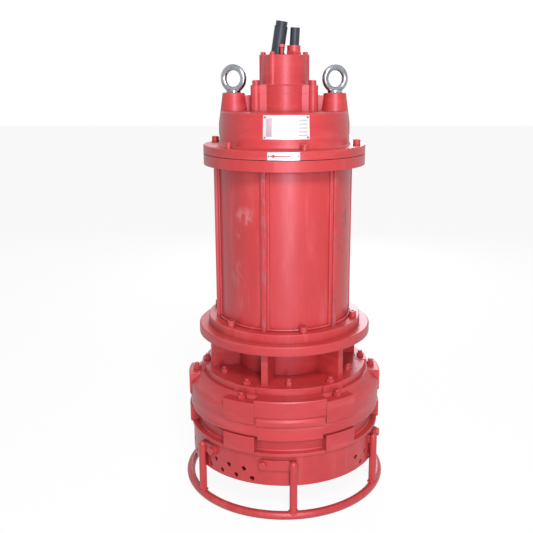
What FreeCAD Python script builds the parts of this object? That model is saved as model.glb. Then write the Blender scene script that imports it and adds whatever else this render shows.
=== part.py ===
"""Submersible slurry pump: motor on top, oil chamber lantern, annular pump casing,
strainer drum and a round base frame.  Millimetres, +Z up, the shaft axis is Z and the
floor is z = 0.  The plates face -Y; the discharge flange faces +Y.

Angles named *_angle are measured in plan from -Y towards +X.
"""
import FreeCAD, Part
import math
import os
from types import SimpleNamespace

import Sketcher

Vector = FreeCAD.Vector
UP = Vector(0, 0, 1)
ORIGIN = Vector(0, 0, 0)

# ---------------------------------------------------------------- driving dimensions
SIZES = {
    # base frame
    "base_rod_diameter": 22.0,
    "base_ring_offset": 12.0,
    "leg_diameter": 20.0,
    "leg_count": 6,
    "leg_first_angle": 5.0,
    "leg_rise": 74.0,
    "strap_height": 27.0,
    "strap_thickness": 8.0,
    "strap_rise": 60.0,
    "front_strap_sweep": 17.0,
    "side_strap_sweep": 9.0,
    # strainer drum
    "strainer_floor_gap": 88.0,
    "strainer_height": 82.0,
    "strainer_inset": 5.0,
    "strainer_wall": 5.0,
    "strainer_lip": 86.0,
    "strainer_flange_thickness": 4.0,
    "strainer_flange_width": 51.0,
    "strainer_hole_diameter": 13.0,
    "strainer_hole_pitch_angle": 10.3,
    "strainer_hole_count": 29,
    "strainer_first_hole_angle": 52.7,
    "strainer_low_row": 13.5,
    "strainer_row_spacing": 23.0,
    "strainer_screw_inset": 30.0,
    "strainer_screw_diameter": 10.0,
    "strap_bolt_diameter": 10.0,
    # suction cover
    "cover_flange_thickness": 5.0,
    "cover_height": 28.0,
    "band_proud": 4.0,
    "suction_radius": 75.0,
    "liner_thickness": 9.0,
    "gasket_thickness": 2.0,
    # casing
    "casing_height": 111.0,
    "casing_radius": 261.0,
    "casing_neck_inset": 20.0,
    "casing_neck_height": 3.0,
    "casing_waist_rise": 9.0,
    "casing_shoulder_width": 31.0,
    "casing_shoulder_drop": 30.0,
    "casing_wall": 15.0,
    "casing_roof": 20.0,
    "casing_mouth_radius": 200.0,
    "casing_round": 20.0,
    "casing_foot_round": 10.0,
    "channel_round": 14.0,
    "lug_proud": 4.0,
    "lug_sweep": 19.4,
    "lug_first_angle": -26.5,
    "lug_count": 6,
    "lug_height": 69.0,
    "lug_top_drop": 8.0,
    "lug_bevel": 2.5,
    "lug_foot_bevel": 10.0,
    "lower_lug_height": 46.0,
    "casing_stud_diameter": 12.0,
    "spot_face_radius": 13.0,
    "casing_stud_inset": 18.0,
    "boss_start_angle": -17.0,
    "boss_sweep": 41.0,
    "boss_height": 44.0,
    "pillow_height": 28.0,
    "apron_proud": 1.5,
    "pillow_proud": 6.5,
    "pillow_round": 9.0,
    # discharge
    "discharge_bore": 80.0,
    "discharge_wall": 10.0,
    "discharge_reach": 84.0,
    "discharge_flange_diameter": 200.0,
    "discharge_flange_thickness": 20.0,
    "discharge_pcd": 160.0,
    "discharge_hole_diameter": 18.0,
    "discharge_bolt_count": 8,
    "discharge_rise": 51.0,
    # lantern
    "lantern_foot_inset": 39.0,
    "lantern_foot_thickness": 18.0,
    "lantern_gap": 91.0,
    "lantern_head_proud": 10.0,
    "lantern_head_thickness": 24.0,
    "lantern_rib_inset": 17.0,
    "lantern_rib_thickness": 17.0,
    "lantern_rib_first_angle": -14.3,
    "lantern_rib_count": 6,
    "oil_drum_radius": 128.0,
    "oil_drum_wall": 13.0,
    "lantern_bore_lip": 15.0,
    "oil_plug_angle": 194.3,
    "oil_plug_radius": 9.0,
    "ear_proud": 6.0,
    "ear_sweep": 15.4,
    "ear_step": 1.0,
    "ear_inset": 9.0,
    "lantern_stud_diameter": 12.0,
    "lantern_stud_inset": 32.0,
    "lantern_stud_first_angle": 3.5,
    # motor
    "motor_foot_width": 32.0,
    "motor_foot_thickness": 23.0,
    "motor_tube_length": 405.0,
    "motor_radius": 174.0,
    "motor_wall": 10.0,
    "motor_rib_height": 12.0,
    "motor_rib_width": 12.0,
    "motor_rib_first_angle": -16.0,
    "motor_rib_count": 6,
    "motor_head_width": 36.0,
    "motor_head_thickness": 27.0,
    "screw_diameter": 12.0,
    "screw_offset": 16.5,
    "screw_first_angle": 14.5,
    "screw_count": 6,
    # top cap
    "cap_flange_thickness": 21.5,
    "cap_height": 84.0,
    "cap_foot_inset": 5.5,
    "cap_taper": 5.0,
    "cap_wall": 12.0,
    "cap_roof": 14.0,
    "cap_foot_round": 10.0,
    "cap_gasket_thickness": 1.5,
    "eye_inset": 39.0,
    "eye_boss_foot_radius": 35.0,
    "eye_boss_top_radius": 28.5,
    "eye_boss_height": 45.0,
    "eye_boss_sink": 60.0,
    "web_thickness": 14.0,
    "web_top_drop": 6.0,
    # terminal chamber and cable box
    "terminal_height": 43.0,
    "terminal_radius": 63.0,
    "terminal_wall": 12.0,
    "terminal_ear_radius": 13.5,
    "terminal_ear_reach": 8.5,
    "terminal_ear_y": 36.0,
    "cable_foot_thickness": 21.0,
    "cable_box_height": 74.0,
    "cable_box_foot_inset": 2.0,
    "cable_box_taper": 3.0,
    "cable_box_wall": 11.0,
    "cable_box_roof": 13.0,
    "cable_column_radius": 10.0,
    "cable_column_inset": 4.5,
    "cable_column_first_angle": -33.0,
    "cable_column_step": 120.0,
    "box_screw_diameter": 12.0,
    # leads
    "power_lead_diameter": 33.0,
    "power_lead_length": 82.0,
    "power_lead_x": -18.0,
    "power_lead_lean": 8.5,
    "control_lead_diameter": 24.0,
    "control_lead_length": 66.0,
    "control_lead_x": 24.0,
    "control_lead_lean": 3.0,
    "gland_height": 23.0,
    "gland_radius": 17.0,
    "grommet_wall": 3.0,
    # eye bolts
    "eye_outer_diameter": 72.0,
    "eye_inner_diameter": 40.0,
    "eye_collar_radius": 19.0,
    "eye_collar_height": 9.0,
    "eye_rise": 71.0,
    "eye_shank_diameter": 20.0,
    "eye_shank_length": 30.0,
    "eye_turn_angle": 24.0,
    # plates
    "nameplate_width_angle": 39.0,
    "nameplate_height": 57.0,
    "nameplate_angle": 1.7,
    "nameplate_top_drop": 2.5,
    "plate_thickness": 1.0,
    "arrow_plate_width_angle": 21.0,
    "arrow_plate_height": 19.0,
    "arrow_plate_angle": -0.5,
    # rotor
    "shaft_tip_radius": 17.0,
    "shaft_impeller_radius": 24.0,
    "shaft_seal_radius": 30.0,
    "shaft_bearing_radius": 32.5,
    "shaft_body_radius": 38.0,
    "shaft_core_radius": 42.0,
    "shaft_upper_radius": 36.0,
    "shaft_end_radius": 27.5,
    "stator_thickness": 64.0,
    "air_gap": 1.0,
    "core_length": 200.0,
    "core_lift": 84.0,
    "winding_overhang": 42.0,
    "end_ring_height": 12.0,
    # impeller and agitator
    "impeller_radius": 150.0,
    "impeller_side_gap": 4.0,
    "shroud_thickness": 9.0,
    "impeller_hub_radius": 38.0,
    "vane_count": 4,
    "vane_thickness": 10.0,
    "vane_angle": 25.0,
    "agitator_radius": 92.0,
    "agitator_height": 42.0,
    "agitator_drop": 57.0,
    "agitator_hub_radius": 28.0,
    "agitator_blade_thickness": 9.0,
    "agitator_blade_count": 4,
    "nut_height": 18.0,
    # bearings
    "lower_bearing_outer_radius": 70.0,
    "lower_bearing_height": 40.0,
    "upper_bearing_outer_radius": 60.0,
    "upper_bearing_height": 29.0,
    "bearing_ring_wall": 9.5,
    "cage_thickness": 3.0,
    "carrier_wall": 14.0,
    "carrier_hang": 58.0,
    "roller_count": 12,
    # clearances
    "running_gap": 0.3,
    "seat_gap": 0.1,
    "bolt_gap": 0.75,
}


class Size:
    """A number together with the spreadsheet formula that gives it."""

    def __init__(self, value, text):
        self.value = float(value)
        self.text = text

    def __add__(self, other):
        other = as_size(other)
        return Size(self.value + other.value, f"({self.text} + {other.text})")

    def __sub__(self, other):
        other = as_size(other)
        return Size(self.value - other.value, f"({self.text} - {other.text})")

    def __mul__(self, other):
        other = as_size(other)
        return Size(self.value * other.value, f"({self.text} * {other.text})")

    def __truediv__(self, other):
        other = as_size(other)
        return Size(self.value / other.value, f"({self.text} / {other.text})")

    def __neg__(self):
        return Size(-self.value, f"(0 - {self.text})")

    __radd__ = __add__
    __rmul__ = __mul__


def as_size(number):
    """Let plain numbers take part in formulas."""
    return number if isinstance(number, Size) else Size(number, repr(float(number)))


doc = FreeCAD.newDocument("SlurryPump")
sheet = doc.addObject("Spreadsheet::Sheet", "Sizes")
for row, (alias, number) in enumerate(SIZES.items(), start=1):
    sheet.set(f"A{row}", alias)
    sheet.set(f"B{row}", str(number))
    sheet.setAlias(f"B{row}", alias)
doc.recompute()
s = SimpleNamespace(**{alias: Size(sheet.get(alias), f"Sizes.{alias}") for alias in SIZES})
NOTHING = as_size(0)
written = []

# ---------------------------------------------------------------- radii that follow from others
s.strainer_radius = s.casing_radius - s.strainer_inset
s.base_ring_radius = s.strainer_radius + s.base_ring_offset
s.strainer_flange_inner = s.strainer_radius - s.strainer_flange_width
s.strainer_screw_radius = s.strainer_radius - s.strainer_screw_inset
s.band_radius = s.strainer_radius + s.band_proud
s.casing_neck_radius = s.casing_radius - s.casing_neck_inset
s.casing_stud_radius = s.casing_radius - s.casing_stud_inset
s.lug_radius = s.casing_radius + s.lug_proud
s.pillow_radius = s.casing_radius + s.pillow_proud
s.discharge_face = s.casing_radius + s.discharge_reach
s.lantern_foot_radius = s.casing_radius - s.lantern_foot_inset
s.ear_circle_radius = s.lantern_foot_radius - s.ear_inset
s.lantern_stud_radius = s.lantern_foot_radius - s.lantern_stud_inset
s.lantern_rib_radius = s.lantern_foot_radius - s.lantern_rib_inset
s.lantern_head_radius = s.lantern_foot_radius + s.lantern_head_proud
s.lantern_bore_radius = s.oil_drum_radius - s.oil_drum_wall - s.lantern_bore_lip
s.motor_foot_radius = s.motor_radius + s.motor_foot_width
s.motor_head_radius = s.motor_radius + s.motor_head_width
s.screw_circle_radius = s.motor_radius + s.screw_offset
s.cap_foot_radius = s.motor_radius - s.cap_foot_inset
s.cap_top_radius = s.cap_foot_radius - s.cap_taper
s.eye_spacing = s.cap_foot_radius - s.eye_inset
s.rotor_radius = s.motor_radius - s.motor_wall - s.stator_thickness - s.air_gap
s.terminal_ear_x = s.terminal_radius + s.terminal_ear_reach
s.cable_box_foot_radius = s.terminal_radius - s.cable_box_foot_inset
s.cable_box_top_radius = s.cable_box_foot_radius - s.cable_box_taper
s.cable_column_circle = s.cable_box_top_radius - s.cable_column_inset


# ---------------------------------------------------------------- building helpers
def bind(thing, path, size):
    """Tie one property of an object to the spreadsheet."""
    thing.setExpression(path, as_size(size).text)


def origin_part(body, role):
    """One of a body's own origin planes or axes."""
    return next(f for f in body.Origin.OriginFeatures if f.Role == role)


class Solid:
    """A PartDesign body with the few operations that this pump needs."""

    def __init__(self, label, finished=True):
        self.label = label
        self.body = doc.addObject("PartDesign::Body", label)
        self.steps = 0
        if finished:
            written.append(self.body)

    def _name(self, kind):
        self.steps += 1
        return f"{self.label}_{kind}{self.steps}"

    def sketch(self, plane, lift=None, turn=None):
        """An empty sketch on an origin plane, lifted along its normal and turned about Z."""
        sketch = self.body.newObject("Sketcher::SketchObject", self._name("sketch"))
        sketch.AttachmentSupport = (origin_part(self.body, plane), [""])
        sketch.MapMode = "FlatFace"
        upright = plane == "XZ_Plane"
        axis = Vector(0, 1, 0) if upright else UP
        angle = as_size(turn or 0)
        rise = as_size(lift or 0)
        sketch.AttachmentOffset = FreeCAD.Placement(
            Vector(0, 0, rise.value), FreeCAD.Rotation(axis, angle.value))
        if lift is not None:
            bind(sketch, "AttachmentOffset.Base.z", rise)
        if turn is not None:
            bind(sketch, "AttachmentOffset.Rotation.Angle", angle)
        return sketch

    def polygon(self, sketch, corners):
        """A closed outline; every corner is dimensioned from the origin."""
        corners = [(as_size(x), as_size(y)) for x, y in corners]
        first = sketch.GeometryCount
        points = [Vector(x.value, y.value, 0) for x, y in corners]
        count = len(points)
        for i in range(count):
            sketch.addGeometry(Part.LineSegment(points[i], points[(i + 1) % count]), False)
        for i in range(count):
            follower = first + (i + 1) % count
            sketch.addConstraint(Sketcher.Constraint("Coincident", first + i, 2, follower, 1))
        for i, (x, y) in enumerate(corners):
            self._place_point(sketch, first + i, 1, x, y)

    def circle(self, sketch, x, y, radius):
        x, y, radius = as_size(x), as_size(y), as_size(radius)
        index = sketch.addGeometry(
            Part.Circle(Vector(x.value, y.value, 0), UP, radius.value), False)
        self._place_point(sketch, index, 3, x, y)
        number = sketch.addConstraint(Sketcher.Constraint("Radius", index, radius.value))
        bind(sketch, f"Constraints[{number}]", radius)

    def _place_point(self, sketch, index, end, x, y):
        for kind, size in (("DistanceX", x), ("DistanceY", y)):
            if abs(size.value) < 1e-9:
                line = -2 if kind == "DistanceX" else -1
                sketch.addConstraint(Sketcher.Constraint("PointOnObject", index, end, line))
                continue
            number = sketch.addConstraint(
                Sketcher.Constraint(kind, -1, 1, index, end, size.value))
            bind(sketch, f"Constraints[{number}]", size)

    def _feature(self, kind, sketch):
        feature = self.body.newObject(f"PartDesign::{kind}", self._name(kind.lower()))
        feature.Profile = sketch
        feature.Refine = False
        return feature

    def revolve(self, corners, sweep=None, start=None, cut=False):
        """Turn an outline given as (radius, height) about Z, all round or over a sector."""
        turn = None if start is None else as_size(start) - 90
        sketch = self.sketch("XZ_Plane", turn=turn)
        self.polygon(sketch, corners)
        feature = self._feature("Groove" if cut else "Revolution", sketch)
        feature.ReferenceAxis = (sketch, ["V_Axis"])
        feature.Angle = 360.0 if sweep is None else as_size(sweep).value
        if sweep is not None:
            bind(feature, "Angle", sweep)
        return feature

    def pad(self, draw, low, high, cut=False, turn=None):
        """Raise (or cut) what draw puts in a level sketch, between two heights."""
        sketch = self.sketch("XY_Plane", lift=low, turn=turn)
        draw(sketch)
        feature = self._feature("Pocket" if cut else "Pad", sketch)
        length = as_size(high) - low
        feature.Length = length.value
        bind(feature, "Length", length)
        if cut:
            feature.Reversed = True
        return feature

    def around(self, feature, count, sweep=None):
        """Repeat features evenly about Z."""
        originals = feature if isinstance(feature, list) else [feature]
        pattern = self.body.newObject("PartDesign::PolarPattern", self._name("pattern"))
        pattern.Refine = False
        pattern.Originals = originals
        pattern.Axis = (origin_part(self.body, "Z_Axis"), [""])
        pattern.Angle = 360.0 if sweep is None else as_size(sweep).value
        if sweep is not None:
            bind(pattern, "Angle", sweep)
        bind(pattern, "Occurrences", count)
        self.body.Tip = pattern
        return pattern

    def round_edges(self, wanted, radius):
        """Fillet the edges of the body so far that wanted() picks."""
        doc.recompute()
        base = self.body.Tip
        names = [f"Edge{i}" for i, edge in enumerate(base.Shape.Edges, start=1) if wanted(edge)]
        fillet = self.body.newObject("PartDesign::Fillet", self._name("fillet"))
        fillet.Base = (base, names)
        fillet.Radius = as_size(radius).value
        bind(fillet, "Radius", radius)
        self.body.Tip = fillet
        return fillet


def ring_edge(radius, height, slack=0.05):
    """Picks whole or part circles about Z with this radius and height."""
    def wanted(edge):
        curve = edge.Curve
        if not isinstance(curve, Part.Circle):
            return False
        centre = curve.Center
        return (abs(curve.Radius - radius.value) < slack
                and math.hypot(centre.x, centre.y) < slack
                and abs(centre.z - height.value) < slack)
    return wanted


def keep(label, shape):
    """A sub-part whose shape comes straight from Part's own functions."""
    feature = doc.addObject("Part::Feature", label)
    feature.Shape = shape
    feature.Placement = shape.Placement
    written.append(feature)
    return feature


def tube(outer, inner, low, high):
    """A plain ring about Z."""
    solid = Part.makeCylinder(outer.value, (high - low).value, Vector(0, 0, low.value))
    if inner.value > 0:
        solid = solid.cut(
            Part.makeCylinder(inner.value, (high - low).value, Vector(0, 0, low.value)))
    return solid


def turned(corners):
    """A closed (radius, height) outline turned all the way about Z."""
    points = [Vector(as_size(r).value, 0, as_size(z).value) for r, z in corners]
    return Part.Face(Part.makePolygon(points + points[:1])).revolve(ORIGIN, UP, 360)


def at_angle(shape, radius, height, angle):
    """A copy of a shape drawn at the origin, set out at a plan angle from -Y."""
    copy = shape.copy()
    copy.translate(Vector(0, -radius.value, height.value))
    copy.rotate(ORIGIN, UP, float(angle))
    return copy


def angles(first, count):
    """Evenly spaced plan angles."""
    number = int(round(count.value))
    return [first.value + 360.0 * i / number for i in range(number)]


def group(label, shape, radius, height, plan_angles):
    """Identical loose pieces on one circle, as one sub-part."""
    copies = [at_angle(shape, radius, height, a) for a in plan_angles]
    return keep(label, Part.makeCompound(copies))


def hexagon(flats, low, high):
    """A hexagon prism about Z with bevelled corners on its top."""
    corner = flats / math.sqrt(3)
    points = [Vector(corner * math.cos(math.radians(60 * i)),
                     corner * math.sin(math.radians(60 * i)), low) for i in range(7)]
    prism = Part.Face(Part.makePolygon(points)).extrude(Vector(0, 0, high - low))
    bevel = (corner - flats / 2) * 0.6
    straight = Part.makeCylinder(corner + 1, high - low - bevel, Vector(0, 0, low))
    crown = Part.makeCone(corner, flats / 2 - 0.4, bevel, Vector(0, 0, high - bevel))
    return prism.common(straight.fuse(crown))


# ---------------------------------------------------------------- heights, floor upwards
Z_STRAINER = s.strainer_floor_gap
Z_STRAINER_TOP = Z_STRAINER + s.strainer_height
Z_SPIGOT = Z_STRAINER_TOP + s.strainer_flange_thickness
Z_BAND = Z_SPIGOT + s.cover_flange_thickness
Z_BAND_TOP = Z_BAND + s.cover_height
Z_CASING = Z_BAND_TOP + s.gasket_thickness
Z_CASING_TOP = Z_CASING + s.casing_height
Z_FOOT_TOP = Z_CASING_TOP + s.lantern_foot_thickness
Z_HEAD = Z_FOOT_TOP + s.lantern_gap
Z_MOTOR = Z_HEAD + s.lantern_head_thickness
Z_MOTOR_FOOT_TOP = Z_MOTOR + s.motor_foot_thickness
Z_MOTOR_HEAD = Z_MOTOR_FOOT_TOP + s.motor_tube_length
Z_MOTOR_TOP = Z_MOTOR_HEAD + s.motor_head_thickness
Z_CAP = Z_MOTOR_TOP + s.cap_gasket_thickness
Z_CAP_FLANGE_TOP = Z_CAP + s.cap_flange_thickness
Z_CAP_TOP = Z_CAP_FLANGE_TOP + s.cap_height
Z_TERMINAL_TOP = Z_CAP_TOP + s.terminal_height
Z_CABLE_FOOT_TOP = Z_TERMINAL_TOP + s.cable_foot_thickness
Z_BOX_TOP = Z_CABLE_FOOT_TOP + s.cable_box_height
Z_LUG_TOP = Z_CASING_TOP - s.lug_top_drop
Z_LUG = Z_LUG_TOP - s.lug_height
Z_LOWER_LUG_TOP = Z_SPIGOT + s.lower_lug_height
Z_BOSS_TOP = Z_CASING_TOP
Z_BOSS = Z_BOSS_TOP - s.boss_height
Z_PILLOW = Z_BOSS - s.pillow_height
Z_WAIST = Z_CASING + s.casing_neck_height + s.casing_waist_rise
Z_CARRIER = Z_MOTOR - s.carrier_hang
Z_STRAP = Z_STRAINER + s.strap_rise
Z_LEG_TOP = Z_STRAINER + s.leg_rise
Z_DISCHARGE = Z_CASING + s.discharge_rise
Z_LANTERN_STUD = Z_CASING_TOP - s.casing_roof + 3

Z_LOWER_BEARING = Z_CARRIER + 12
Z_UPPER_BEARING = Z_CAP_FLANGE_TOP - 5
Z_IMPELLER = Z_BAND_TOP + s.liner_thickness + s.impeller_side_gap
Z_IMPELLER_TOP = Z_CASING_TOP - s.casing_roof - s.liner_thickness - s.impeller_side_gap
Z_IMPELLER_HUB_TOP = Z_CASING_TOP - s.casing_roof - 2
Z_AGITATOR = Z_BAND - s.agitator_drop
Z_AGITATOR_TOP = Z_AGITATOR + s.agitator_height

LUG_INNER = s.casing_neck_radius - 12
SEAL_SEAT = s.shaft_seal_radius + 15
MOTOR_BORE = s.motor_radius - s.motor_wall
SCREW_HOLE = s.screw_diameter / 2 + s.bolt_gap
STUD_HOLE = s.casing_stud_diameter / 2 + s.bolt_gap
LANTERN_STUD_HOLE = s.lantern_stud_diameter / 2 + s.bolt_gap
LANTERN_STUD_TAP = s.lantern_stud_diameter / 2 + s.seat_gap


# ---------------------------------------------------------------- base frame and strainer
def make_base_ring():
    ring = doc.addObject("Part::Torus", "base_ring")
    bind(ring, "Radius1", s.base_ring_radius)
    bind(ring, "Radius2", s.base_rod_diameter / 2)
    bind(ring, "Placement.Base.z", s.base_rod_diameter / 2)
    written.append(ring)
    doc.recompute()
    return ring


def leg_angles():
    return angles(s.leg_first_angle, s.leg_count)


def make_legs(ring):
    """Upright rods, coped onto the ring and rounded off at the top."""
    radius = s.leg_diameter.value / 2
    low = s.base_rod_diameter.value * 0.75
    rod = Part.makeCylinder(radius, Z_LEG_TOP.value - radius - low, Vector(0, 0, low))
    top = Part.makeSphere(radius, Vector(0, 0, Z_LEG_TOP.value - radius))
    rod = rod.fuse(top).removeSplitter()
    circle = s.strainer_radius + s.leg_diameter / 2 + s.running_gap
    rods = [at_angle(rod, circle, NOTHING, a).cut(ring.Shape) for a in leg_angles()]
    keep("base_legs", Part.makeCompound(rods))


def make_straps():
    """Curved flats with a rounded end, from each leg along the drum."""
    inner = s.strainer_radius
    outer = inner + s.strap_thickness
    low = Z_STRAP - s.strap_height / 2
    band = tube(outer, inner, low, low + s.strap_height)
    half = s.strap_height.value / 2
    leg_half = math.degrees((s.leg_diameter.value / 2) / (inner.value + 10))
    straps = []
    for number, angle in enumerate(leg_angles()):
        backward = number == 0
        sweep = s.front_strap_sweep.value if backward else s.side_strap_sweep.value
        far = angle - sweep if backward else angle + sweep
        near = angle - leg_half if backward else angle + leg_half
        first, last = min(far, near), max(far, near)
        wedge = Part.makeCylinder(outer.value + 5, s.strap_height.value + 2,
                                  Vector(0, 0, low.value - 1), UP, last - first)
        wedge.rotate(ORIGIN, UP, first - 90)
        eye = Part.makeCylinder(half, outer.value + 5, Vector(0, 0, Z_STRAP.value),
                                Vector(0, -1, 0))
        eye.rotate(ORIGIN, UP, far)
        straps.append(band.common(wedge.fuse(eye)).Solids[0])
    keep("leg_straps", Part.makeCompound([strap.cut(strap_punch()) for strap in straps]))


def strap_ends():
    """Plan angles of the bolted strap ends: the front strap runs back, the others on."""
    return [a - s.front_strap_sweep.value if number == 0 else a + s.side_strap_sweep.value
            for number, a in enumerate(leg_angles())]


def strap_punch():
    """Radial cylinders that clear the strap bolts."""
    radius = s.strap_bolt_diameter.value / 2 + s.seat_gap.value
    reach = s.strainer_radius + s.strap_thickness + 5
    punch = Part.makeCylinder(radius, 30, ORIGIN, Vector(0, 1, 0))
    return [at_angle(punch, reach, Z_STRAP, a) for a in strap_ends()]


def make_strap_bolts():
    """Hexagon heads that hold the strap ends to the drum."""
    length = s.strap_thickness.value + s.strainer_wall.value + 4
    shank = Part.makeCylinder(s.strap_bolt_diameter.value / 2, length, Vector(0, 0, -length))
    bolt = hexagon(19.0, 0.0, 8.0).fuse(shank)
    bolt.rotate(ORIGIN, Vector(1, 0, 0), 90)
    group("strap_bolts", bolt, s.strainer_radius + s.strap_thickness, Z_STRAP,
          strap_ends())


def make_strainer():
    drum = Solid("strainer_blank", finished=False)
    outer = s.strainer_radius
    inner = outer - s.strainer_wall
    drum.revolve([
        (s.strainer_flange_inner, Z_STRAINER_TOP), (inner, Z_STRAINER_TOP),
        (inner, Z_STRAINER + s.strainer_wall),
        (outer - s.strainer_lip, Z_STRAINER + s.strainer_wall),
        (outer - s.strainer_lip, Z_STRAINER), (outer, Z_STRAINER), (outer, Z_STRAINER_TOP),
        (s.band_radius, Z_STRAINER_TOP), (s.band_radius, Z_SPIGOT),
        (s.strainer_flange_inner, Z_SPIGOT)])
    drum.pad(lambda k: drum.circle(k, 0, -s.strainer_screw_radius,
                                   s.strainer_screw_diameter / 2 + 0.5),
             Z_STRAINER_TOP, Z_SPIGOT, cut=True)
    drum.around(drum.body.Group[-1], s.lug_count)
    pierced = doc.addObject("Part::Cut", "strainer_drum")
    pierced.Base = drum.body
    pierced.Tool = make_strainer_punch()
    pierced.Label = "strainer_drum"
    written.append(pierced)


def make_strainer_punch():
    """Two staggered rows of round punches, left out over the front sector."""
    reach = s.strainer_radius.value + 10
    radius = s.strainer_hole_diameter.value / 2
    punch = Part.makeCylinder(radius, 10 + 2 * s.strainer_wall.value, ORIGIN, Vector(0, 1, 0))
    pitch = s.strainer_hole_pitch_angle.value
    first = s.strainer_first_hole_angle.value
    low = Z_STRAINER + s.strainer_low_row
    rows = ((low, first), (low + s.strainer_row_spacing, first - pitch / 2))
    number = int(round(s.strainer_hole_count.value))
    punches = [at_angle(punch, as_size(reach), height, start + pitch * i)
               for height, start in rows for i in range(number)]
    tool = doc.addObject("Part::Feature", "strainer_punch")
    tool.Shape = Part.makeCompound(punches + strap_punch())
    return tool


# ---------------------------------------------------------------- suction cover and casing
def lug_start(first_angle):
    """Where a lug's sector begins, so that the lug is centred on its angle."""
    return first_angle - s.lug_sweep / 2


def make_suction_cover():
    """Plate with the suction eye, a thin bolting flange, a plain neck and six lower lugs."""
    cover = Solid("suction_cover")
    eye = s.suction_radius
    relief = s.strainer_flange_inner - 4
    wall = s.casing_neck_radius + 1
    cover.revolve([
        (eye, Z_BAND), (relief, Z_BAND), (relief, Z_SPIGOT), (s.band_radius, Z_SPIGOT),
        (s.band_radius, Z_BAND), (wall + 2, Z_BAND), (wall, Z_BAND + 2), (wall, Z_BAND_TOP),
        (eye, Z_BAND_TOP)])
    neck = s.casing_neck_radius + s.running_gap
    lug = cover.revolve([
        (s.casing_stud_radius - 10, Z_SPIGOT), (s.lug_radius - 2, Z_SPIGOT),
        (s.lug_radius, Z_SPIGOT + 2), (s.lug_radius, Z_LOWER_LUG_TOP - 2),
        (s.lug_radius - 2, Z_LOWER_LUG_TOP), (neck, Z_LOWER_LUG_TOP), (neck, Z_BAND_TOP - 1),
        (s.casing_stud_radius - 10, Z_BAND_TOP - 1)],
        sweep=s.lug_sweep, start=lug_start(s.lug_first_angle))
    cover.around(lug, s.lug_count)
    outside = s.casing_radius + s.running_gap
    cover.revolve([
        (eye + 1, Z_BAND_TOP), (neck, Z_BAND_TOP), (neck, Z_CASING + s.casing_neck_height),
        (outside, Z_WAIST), (outside, Z_WAIST + 20), (eye + 1, Z_WAIST + 20)],
        cut=True)
    hole = cover.pad(lambda k: cover.circle(k, 0, -s.casing_stud_radius,
                                            s.casing_stud_diameter / 2 + s.seat_gap),
                     Z_BAND, Z_LOWER_LUG_TOP + 1, cut=True, turn=s.lug_first_angle)
    cover.around(hole, s.lug_count)
    hole = cover.pad(lambda k: cover.circle(k, 0, -s.strainer_screw_radius,
                                            s.strainer_screw_diameter / 2 + s.seat_gap),
                     Z_SPIGOT - 1, Z_BAND_TOP - 12, cut=True)
    cover.around(hole, s.lug_count)


def make_casing():
    """Annular casing: thick round-shouldered body, bolt lugs, front boss, discharge branch."""
    casing = Solid("pump_casing")
    body = s.casing_radius
    neck = s.casing_neck_radius
    channel = neck - s.casing_wall - 4
    shoulder = body - s.casing_shoulder_width
    roof = Z_CASING_TOP - s.casing_roof
    upper = Z_CASING_TOP - s.casing_shoulder_drop
    casing.revolve([
        (s.casing_mouth_radius, Z_CASING_TOP), (shoulder, Z_CASING_TOP),
        (shoulder + 6, Z_CASING_TOP - 9), (body, upper), (body, Z_WAIST),
        (neck, Z_CASING + s.casing_neck_height), (neck, Z_CASING), (channel, Z_CASING),
        (channel, roof - s.channel_round), (channel - s.channel_round * 0.3, roof - s.channel_round * 0.3),
        (channel - s.channel_round, roof), (s.casing_mouth_radius, roof)])
    casing.round_edges(ring_edge(body, upper), s.casing_round)
    casing.round_edges(ring_edge(body, Z_WAIST), s.casing_foot_round)
    lug = casing.revolve([
        (LUG_INNER, Z_LUG), (s.lug_radius - s.lug_foot_bevel, Z_LUG),
        (s.lug_radius, Z_LUG + s.lug_foot_bevel * 1.4), (s.lug_radius, Z_LUG_TOP - s.lug_bevel),
        (s.lug_radius - s.lug_bevel, Z_LUG_TOP), (LUG_INNER, Z_LUG_TOP)],
        sweep=s.lug_sweep, start=lug_start(s.lug_first_angle))
    casing.around(lug, s.lug_count)
    casing.revolve([
        (LUG_INNER, Z_BOSS), (body + 1, Z_BOSS), (body + 1, Z_BOSS_TOP - 3),
        (body - 1, Z_BOSS_TOP), (LUG_INNER, Z_BOSS_TOP)],
        sweep=s.boss_sweep, start=s.boss_start_angle)
    round_ = s.pillow_round
    casing.revolve([
        (LUG_INNER, Z_PILLOW), (body - 2, Z_PILLOW), (s.pillow_radius - 2, Z_PILLOW + 5),
        (s.pillow_radius, Z_PILLOW + 11), (s.pillow_radius, Z_BOSS - round_),
        (s.pillow_radius - round_ * 0.3, Z_BOSS - round_ * 0.3),
        (s.pillow_radius - round_, Z_BOSS), (LUG_INNER, Z_BOSS)],
        sweep=s.boss_sweep - 3, start=s.boss_start_angle + 1.5)
    edge = body + s.apron_proud
    casing.revolve([
        (LUG_INNER, Z_CASING + 1), (edge - 6, Z_CASING + 1), (edge, Z_CASING + 6),
        (edge, Z_PILLOW + 2), (LUG_INNER, Z_PILLOW + 2)],
        sweep=s.boss_sweep - 4, start=s.boss_start_angle + 2)
    add_discharge(casing, channel)
    hole = casing.pad(lambda k: casing.circle(k, 0, -s.casing_stud_radius, STUD_HOLE),
                      Z_CASING - 1, Z_LUG_TOP + 1, cut=True, turn=s.lug_first_angle)
    casing.around(hole, s.lug_count)
    face = casing.pad(lambda k: casing.circle(k, 0, -s.casing_stud_radius, s.spot_face_radius),
                      Z_LUG_TOP, Z_CASING_TOP + 1, cut=True, turn=s.lug_first_angle)
    casing.around(face, s.lug_count)
    add_foot_holes(casing, s.ear_circle_radius, s.lug_first_angle,
                   Z_LANTERN_STUD, Z_CASING_TOP + 1, LANTERN_STUD_TAP)


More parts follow.
